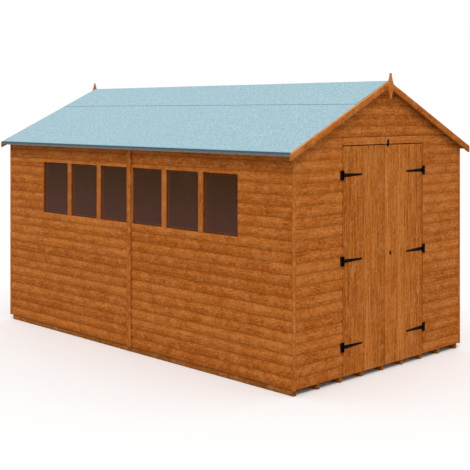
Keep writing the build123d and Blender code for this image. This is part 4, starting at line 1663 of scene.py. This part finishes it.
@dataclass
class Door(Assembly):
    """One door leaf: upright boards, ledges and braces, strap hinges and, on the right, the lock.

    Plate screws are placed in shares of the cross plate, strap screws by their distance from the
    pin. keyhole_cut is how far the board is cut beside, below and above the keyhole, and cover
    the width, height and corner radius of the black plate behind it, which is painted shade in
    the hole.
    """

    seed: int = 71
    side: int = -1
    hinge_gap: float = 0.008
    meeting_gap: float = 0.008
    boards: int = 6
    board_depth: float = 0.013
    board_gap: float = 0.0006
    board_ease: float = 0.0018
    ledge_width: float = 0.09
    ledge_depth: float = 0.02
    ledge_inset: float = 0.016
    ledge_ease: float = 0.003
    brace_width: float = 0.07
    levels: tuple[float, float, float] = (0.216, 0.846, 1.476)
    nail: Head = Head(0.0024, 0.0006, 6)
    nail_spread: float = 0.03
    metal: float = 0.003
    bevel: float = 0.0009
    plate_width: float = 0.026
    plate_height: float = 0.070
    plate_round: float = 0.004
    plate_clear: float = 0.0005
    plate_screws: tuple[tuple[float, float], ...] = ((0.5, -0.36), (0.5, 0.36), (0.62, 0.0))
    tab_back: float = 0.001
    tab_over: float = 0.002
    tab_bevel: float = 0.0005
    knuckle: float = 0.006
    knuckle_length: float = 0.030
    knuckle_ease: float = 0.0006
    strap_length: float = 0.222
    strap_tip: float = 0.012
    tip_steps: int = 9
    strap_screws: tuple[float, ...] = (0.045, 0.095, 0.15, 0.2)
    screw: Head = Head(0.0042, 0.0018)
    keyhole_inset: float = 0.066
    keyhole_height: float = 0.857
    keyhole_cut: tuple[float, float, float] = (0.006, 0.018, 0.008)
    keyhole_radius: float = 0.004
    keyhole_slot: tuple[float, float] = (0.002, -0.012)
    keyhole_turns: int = 40
    slot_from: float = -0.75
    scutcheon: tuple[float, float] = (0.0105, 0.0165)
    scutcheon_drop: float = 0.003
    scutcheon_crown: float = 0.92
    scutcheon_levels: tuple[float, ...] = (0.0, 0.0012, 0.0016, 0.0008, 0.0)
    cover: tuple[float, float, float] = (0.0115, 0.025, 0.002)
    shade_plate_at: tuple[float, float, float] = (0.0, 0.004, -0.005)
    cover_depth: float = 0.001
    lock_far: float = 0.106
    lock_round: float = 0.004
    lock_bevel: float = 0.003
    lock_margin: float = 0.009
    lock_screw: Head = Head(0.0038, 0.0015)
    stop_metal: float = 0.004
    stop_round: float = 0.003
    stop_bevel: float = 0.0012
    stop_foot: float = 0.010
    stop_foot_round: float = 0.001
    hidden_bevel: float = 0.0002

    def __post_init__(self) -> None:
        """Seeds each leaf apart."""
        self.seed += self.side
        super().__post_init__()

    @property
    def name(self) -> str:
        """left or right."""
        return "left" if self.side < 0 else "right"

    @property
    def body(self) -> str:
        """The CAD body of this leaf."""
        return f"{self.name}_door"

    @property
    def outer(self) -> float:
        """Distance of the hinge edge from the middle."""
        return self.lines.opening_x - self.hinge_gap

    @property
    def inner(self) -> float:
        """Distance of the meeting edge from the middle."""
        return self.meeting_gap / 2

    @property
    def width(self) -> float:
        """Width of one board with its gap."""
        return (self.outer - self.inner) / self.boards

    @property
    def heights(self) -> Array:
        """Heights of the ledges and hinges."""
        return self.lines.ground_z + np.array(self.levels)

    @property
    def key(self) -> Array:
        """Middle of the keyhole's round part, on the leaf's face."""
        at = self.lines
        across, height = self.inner + self.keyhole_inset, at.ground_z + self.keyhole_height
        return np.array([across, -at.half_length, height])

    def build(self) -> None:
        """Builds the leaf and its ironwork."""
        self.leaf()
        self.nails()
        self.ledges()
        self.hinges()
        if self.side > 0:
            self.lock()
            self.keyhole()
            self.stop()

    def leaf(self) -> None:
        """Upright boards with eased edges; the lock board is pieced round the keyhole."""
        node = f"{self.name}_door_boards"
        low, high, _, _ = box(node)
        y = -self.lines.half_length + self.board_depth / 2
        mesh = self.mesh()
        for near in self.inner + self.width * np.arange(self.boards):
            x = self.side * (near + self.width / 2)
            if self.side > 0 and near < self.key[0] < near + self.width:
                self.lock_board(mesh, x, y, low[2], high[2])
                continue
            size = self.width - self.board_gap, self.board_depth
            mesh.timber(span(2, low[2], high[2], x, y), X_AXIS, *size, radius=self.board_ease)
        mesh.build(f"{node}_planks", Finish.DOOR, node, self.body)

    def lock_board(self, mesh: Mesh, x: float, y: float, low: float, high: float) -> None:
        """The board with the keyhole, as four pieces of one grain: below, above, left and right.

        Args:
            mesh: Where the board goes.
            x: Middle of its width.
            y: Middle of its thickness.
            low: Its foot.
            high: Its head.
        """
        profile = rounded_rectangle(self.width - self.board_gap, self.board_depth, self.board_ease)
        tone, shift = float(self.rng.random()), self.rng.random(2) * GRAIN_SPREAD
        half = profile[:, 0].max()
        beside, below, above = self.keyhole_cut
        foot, head = self.key[2] - below, self.key[2] + above
        pieces = [(low, foot, 0), (head, high, 0), (foot, head, -1), (foot, head, 1)]
        for start, end, hand in pieces:
            section, slide = profile.copy(), 0.0
            if hand:
                cut = self.key[0] + hand * beside - x
                section[:, 0] = (np.minimum if hand < 0 else np.maximum)(section[:, 0], cut)
                slide = half - cut if hand < 0 else 2 * (half + cut)
            axes, moved = (X_AXIS, Y_AXIS), shift + (0.0, slide)
            mesh.sweep(section, axes, (x, y, 0.0), start, end, tone=tone, shift=moved)

    def nails(self) -> None:
        """Two nail heads through each board into each ledge."""
        across = self.side * (self.inner + self.width * (np.arange(self.boards) + 0.5))
        up = np.concatenate([self.heights - self.nail_spread, self.heights + self.nail_spread])
        places = np.stack(np.meshgrid(across, up), axis=-1).reshape(-1, 2)
        mesh = self.mesh()
        mesh.domes(flat(places, GABLE) - Y_AXIS * self.lines.half_length, -Y_AXIS, self.nail)
        mesh.build(f"{self.name}_door_nail_heads", Finish.IRON, body=self.body)

    def ledges(self) -> None:
        """Three ledges at the hinge heights, and a brace rising from the hinge side of each bay."""
        at = self.lines
        y = -at.half_length + self.board_depth + self.ledge_depth / 2
        plain, far = self.inner + self.ledge_inset, self.outer - self.ledge_inset
        cut = self.lock_far + at.gap if self.side > 0 else plain
        mesh = self.mesh()
        for near, z in zip((plain, cut, plain), self.heights):
            ends = span(0, self.side * near, self.side * far, y, z)
            size = self.ledge_width, self.ledge_depth
            mesh.timber(ends, Z_AXIS, *size, radius=self.ledge_ease)
        clear, half = self.ledge_width / 2 + at.gap, self.brace_width / 2
        for low, high in zip(self.heights, self.heights[1:]):
            foot = np.array([self.side * (far - half), y, low + clear])
            head = np.array([self.side * (cut + half), y, high - clear])
            way = (head - foot) / np.linalg.norm(head - foot)
            size = self.brace_width * abs(float(way[2])), self.ledge_depth
            mesh.timber((foot, head), np.cross(way, Y_AXIS), *size, LEVEL, self.ledge_ease)
        node = f"{self.name}_door_ledges"
        mesh.build(f"{node}_timbers", Finish.FRAME, node, self.body)

    def hinges(self) -> None:
        """Three strap hinges: straps and middle knuckles on the leaf, cross plates with outer
        knuckles on the wall. A strap tapers to a round tip; outlines are for the right side."""
        at, side, length = self.lines, self.side, self.knuckle_length
        straps, plates = self.mesh(), self.mesh()
        tip = self.strap_tip / 2
        long, near = self.strap_length - tip, self.knuckle + self.plate_clear
        turn = np.linspace(-math.pi / 2, math.pi / 2, self.tip_steps)[1:-1]
        lower = np.array([(0.0, -length / 2), (long, -tip)])
        round_end = np.stack([long + tip * np.cos(turn), tip * np.sin(turn)], axis=1)
        strap = np.concatenate([lower, round_end, lower[::-1] * (1, -1)])
        cross = rounded_rectangle(self.plate_width, self.plate_height, self.plate_round, 4)
        cross = cross + (near + self.plate_width / 2, 0.0)
        end = (self.plate_height - length) / 2 - self.plate_clear
        back, over = -self.tab_back, near + self.tab_over
        tab = np.array([(back, -1), (over, -1), (over, 1), (back, 1)]) * (1.0, end / 2)
        strap_spots = np.outer(self.strap_screws, (-side, 0.0))
        spots = np.array(self.plate_screws) * (self.plate_width, self.plate_height)
        plate_spots = (spots + (near, 0.0)) * (side, 1)
        for z in self.heights:
            origin = np.array([side * (at.opening_x - self.hinge_gap / 2), -at.half_length, z])
            axis, face = origin - Y_AXIS * self.knuckle, origin - Y_AXIS * self.metal
            straps.plate(handed(strap, -side), GABLE, origin, self.metal, self.bevel)
            straps.domes(face + flat(strap_spots, GABLE), -Y_AXIS, self.screw)
            straps.tube(axis - Z_AXIS * length / 2, length, self.knuckle, self.knuckle_ease)
            plates.plate(handed(cross, side), GABLE, origin, self.metal, self.bevel)
            plates.domes(face + flat(plate_spots, GABLE), -Y_AXIS, self.screw)
            for way in SIDES:
                middle = way * (self.plate_height - end) / 2
                piece = handed(tab + (0.0, middle), side)
                plates.plate(piece, GABLE, origin, self.metal, self.tab_bevel)
                foot = axis + Z_AXIS * (middle - end / 2)
                plates.tube(foot, end, self.knuckle, self.knuckle_ease)
        for mesh, kind, body in ((straps, "straps", self.body), (plates, "plates", "shed")):
            node = f"{self.name}_hinge_{kind}"
            mesh.build(f"{node}_iron", Finish.IRON, node, body)

    def lock(self) -> None:
        """The rim lock's case, with a screw at each corner."""
        low, high, middle, size = box("rim_lock")
        mesh = self.mesh()
        outline = rounded_rectangle(size[0], size[2], self.lock_round, 4)
        origin = (middle[0], low[1], middle[2])
        mesh.plate(outline, (-X_AXIS, Z_AXIS), origin, size[1], self.lock_bevel)
        spots = flat(CORNERS * (size[[0, 2]] / 2 - self.lock_margin), GABLE)
        mesh.domes((middle[0], high[1], middle[2]) + spots, Y_AXIS, self.lock_screw)
        mesh.build("rim_lock_case", Finish.IRON, "rim_lock", self.body)

    def keyhole(self) -> None:
        """The keyhole's scutcheon, and a black plate behind it that is painted shade in the hole.

        The scutcheon lies between an oval and the keyhole: a circle whose lower part runs down
        into a slot, both read at the same angles. Its rings wrap round to the first.
        """
        around = circle(self.keyhole_turns)
        hole = around * self.keyhole_radius
        down = around[:, 1] < self.slot_from
        ways = np.stack([np.sign(hole[down, 0]), np.ones(down.sum())], axis=1)
        hole[down] = ways * self.keyhole_slot
        oval = around * self.scutcheon - (0.0, self.scutcheon_drop)
        rings = (hole, hole, oval * self.scutcheon_crown, oval, oval)
        levels = zip(rings, self.scutcheon_levels)
        verts = np.concatenate([flat(ring, GABLE) - level * Y_AXIS for ring, level in levels])
        quads = skin(len(rings) + 1, len(around))[0][:, [0, 3, 2, 1]] % len(verts)
        mesh = self.mesh()
        mesh.add(self.key + verts, quads.tolist())
        # a black plate as painted shade seen through the keyhole
        behind = self.key + self.shade_plate_at
        outline = rounded_rectangle(*self.cover)
        mesh.plate(outline, GABLE, behind, self.cover_depth, self.hidden_bevel)
        mesh.build("keyhole_scutcheon", Finish.IRON, body=self.body)

    def stop(self) -> None:
        """The stop over the head board: a bar that stands off the leaf on a foot."""
        low, _, middle, size = box("right_door_stop")
        face = -self.lines.half_length
        back = low[1] + self.stop_metal
        mesh = self.mesh()
        bar = rounded_rectangle(size[0], size[2], self.stop_round, 4)
        origin = (middle[0], back, middle[2])
        mesh.plate(bar, GABLE, origin, self.stop_metal, self.stop_bevel)
        foot = rounded_rectangle(size[0], self.stop_foot, self.stop_foot_round, 2)
        seat = (middle[0], face, low[2] + self.stop_foot / 2)
        mesh.plate(foot, GABLE, seat, face - back, self.hidden_bevel)
        mesh.build("right_door_stop_iron", Finish.IRON, "right_door_stop", self.body)


# Camera, light and floor


@dataclass
class Studio:
    """A pale floor, soft light and a camera at the photograph's angle; angles in degrees."""

    camera_at: tuple[float, float, float] = (-6.1025, -6.4368, 1.9825)
    yaw: float = -44.3
    lens: float = 75.38
    sensor: float = 36.0
    shift: tuple[float, float] = (0.0014, -0.2606)
    sky: float = 0.72
    sun: float = 1.70
    sun_width: float = 22.0
    sun_turn: tuple[float, float, float] = (44.0, -6.0, -39.0)
    floor_half: float = 60.0
    floor_lit: float = 0.6
    floor_seen: float = 0.96

    def build(self) -> None:
        """Sets up the view transform, world, sun, floor and camera."""
        scene = bpy.context.scene
        scene.view_settings.view_transform = "Standard"
        self.world(scene)
        self.lamp(scene)
        self.ground(scene)
        data = bpy.data.cameras.new("camera")
        data.lens, data.sensor_width = self.lens, self.sensor
        data.shift_x, data.shift_y = self.shift
        camera = bpy.data.objects.new("camera", data)
        camera.location = self.camera_at
        camera.rotation_euler = (math.pi / 2, 0.0, math.radians(self.yaw))
        scene.collection.objects.link(camera)
        scene.camera = camera

    def world(self, scene: bpy.types.Scene) -> None:
        """An even sky, white to the camera and in reflections."""
        scene.world = bpy.data.worlds.new("studio")
        graph = Graph(scene.world)
        graph.set("Color", (1.0, 1.0, 1.0))
        graph.set("Strength", self.sky + graph.seen() * (1.0 - self.sky))

    def lamp(self, scene: bpy.types.Scene) -> None:
        """A wide soft sun from above the camera's left."""
        data = bpy.data.lights.new("sun", "SUN")
        data.energy, data.angle = self.sun, math.radians(self.sun_width)
        lamp = bpy.data.objects.new("sun", data)
        lamp.rotation_euler = [math.radians(turn) for turn in self.sun_turn]
        scene.collection.objects.link(lamp)

    def ground(self, scene: bpy.types.Scene) -> None:
        """A plain pale floor."""
        mesh = bpy.data.meshes.new("floor")
        corners = flat(CORNERS * self.floor_half, (X_AXIS, Y_AXIS))
        mesh.from_pydata(corners.tolist(), [], [(0, 1, 2, 3)])
        floor = bpy.data.objects.new("floor", mesh)
        scene.collection.objects.link(floor)
        graph = Graph(bpy.data.materials.new("studio_floor"))
        lit, seen = (self.floor_lit,) * 3, (self.floor_seen,) * 3
        graph.set("Base Color", graph.mix(graph.seen(), lit, seen))
        graph.set("Roughness", 1.0)
        graph.set("Specular IOR Level", 0.0)
        mesh.materials.append(graph.owner)


def main() -> None:
    """Builds the shed's looks piece by piece, then the studio."""
    logging.basicConfig(level=logging.INFO, format="%(name)s: %(message)s")
    lines = Lines()
    for kind in (Floor, LogLap, Windows, Framing, Roof):
        kind(lines).build()
    for side in SIDES:
        Door(lines, side=side).build()
    Studio().build()


if __name__ == "__main__":
    main()
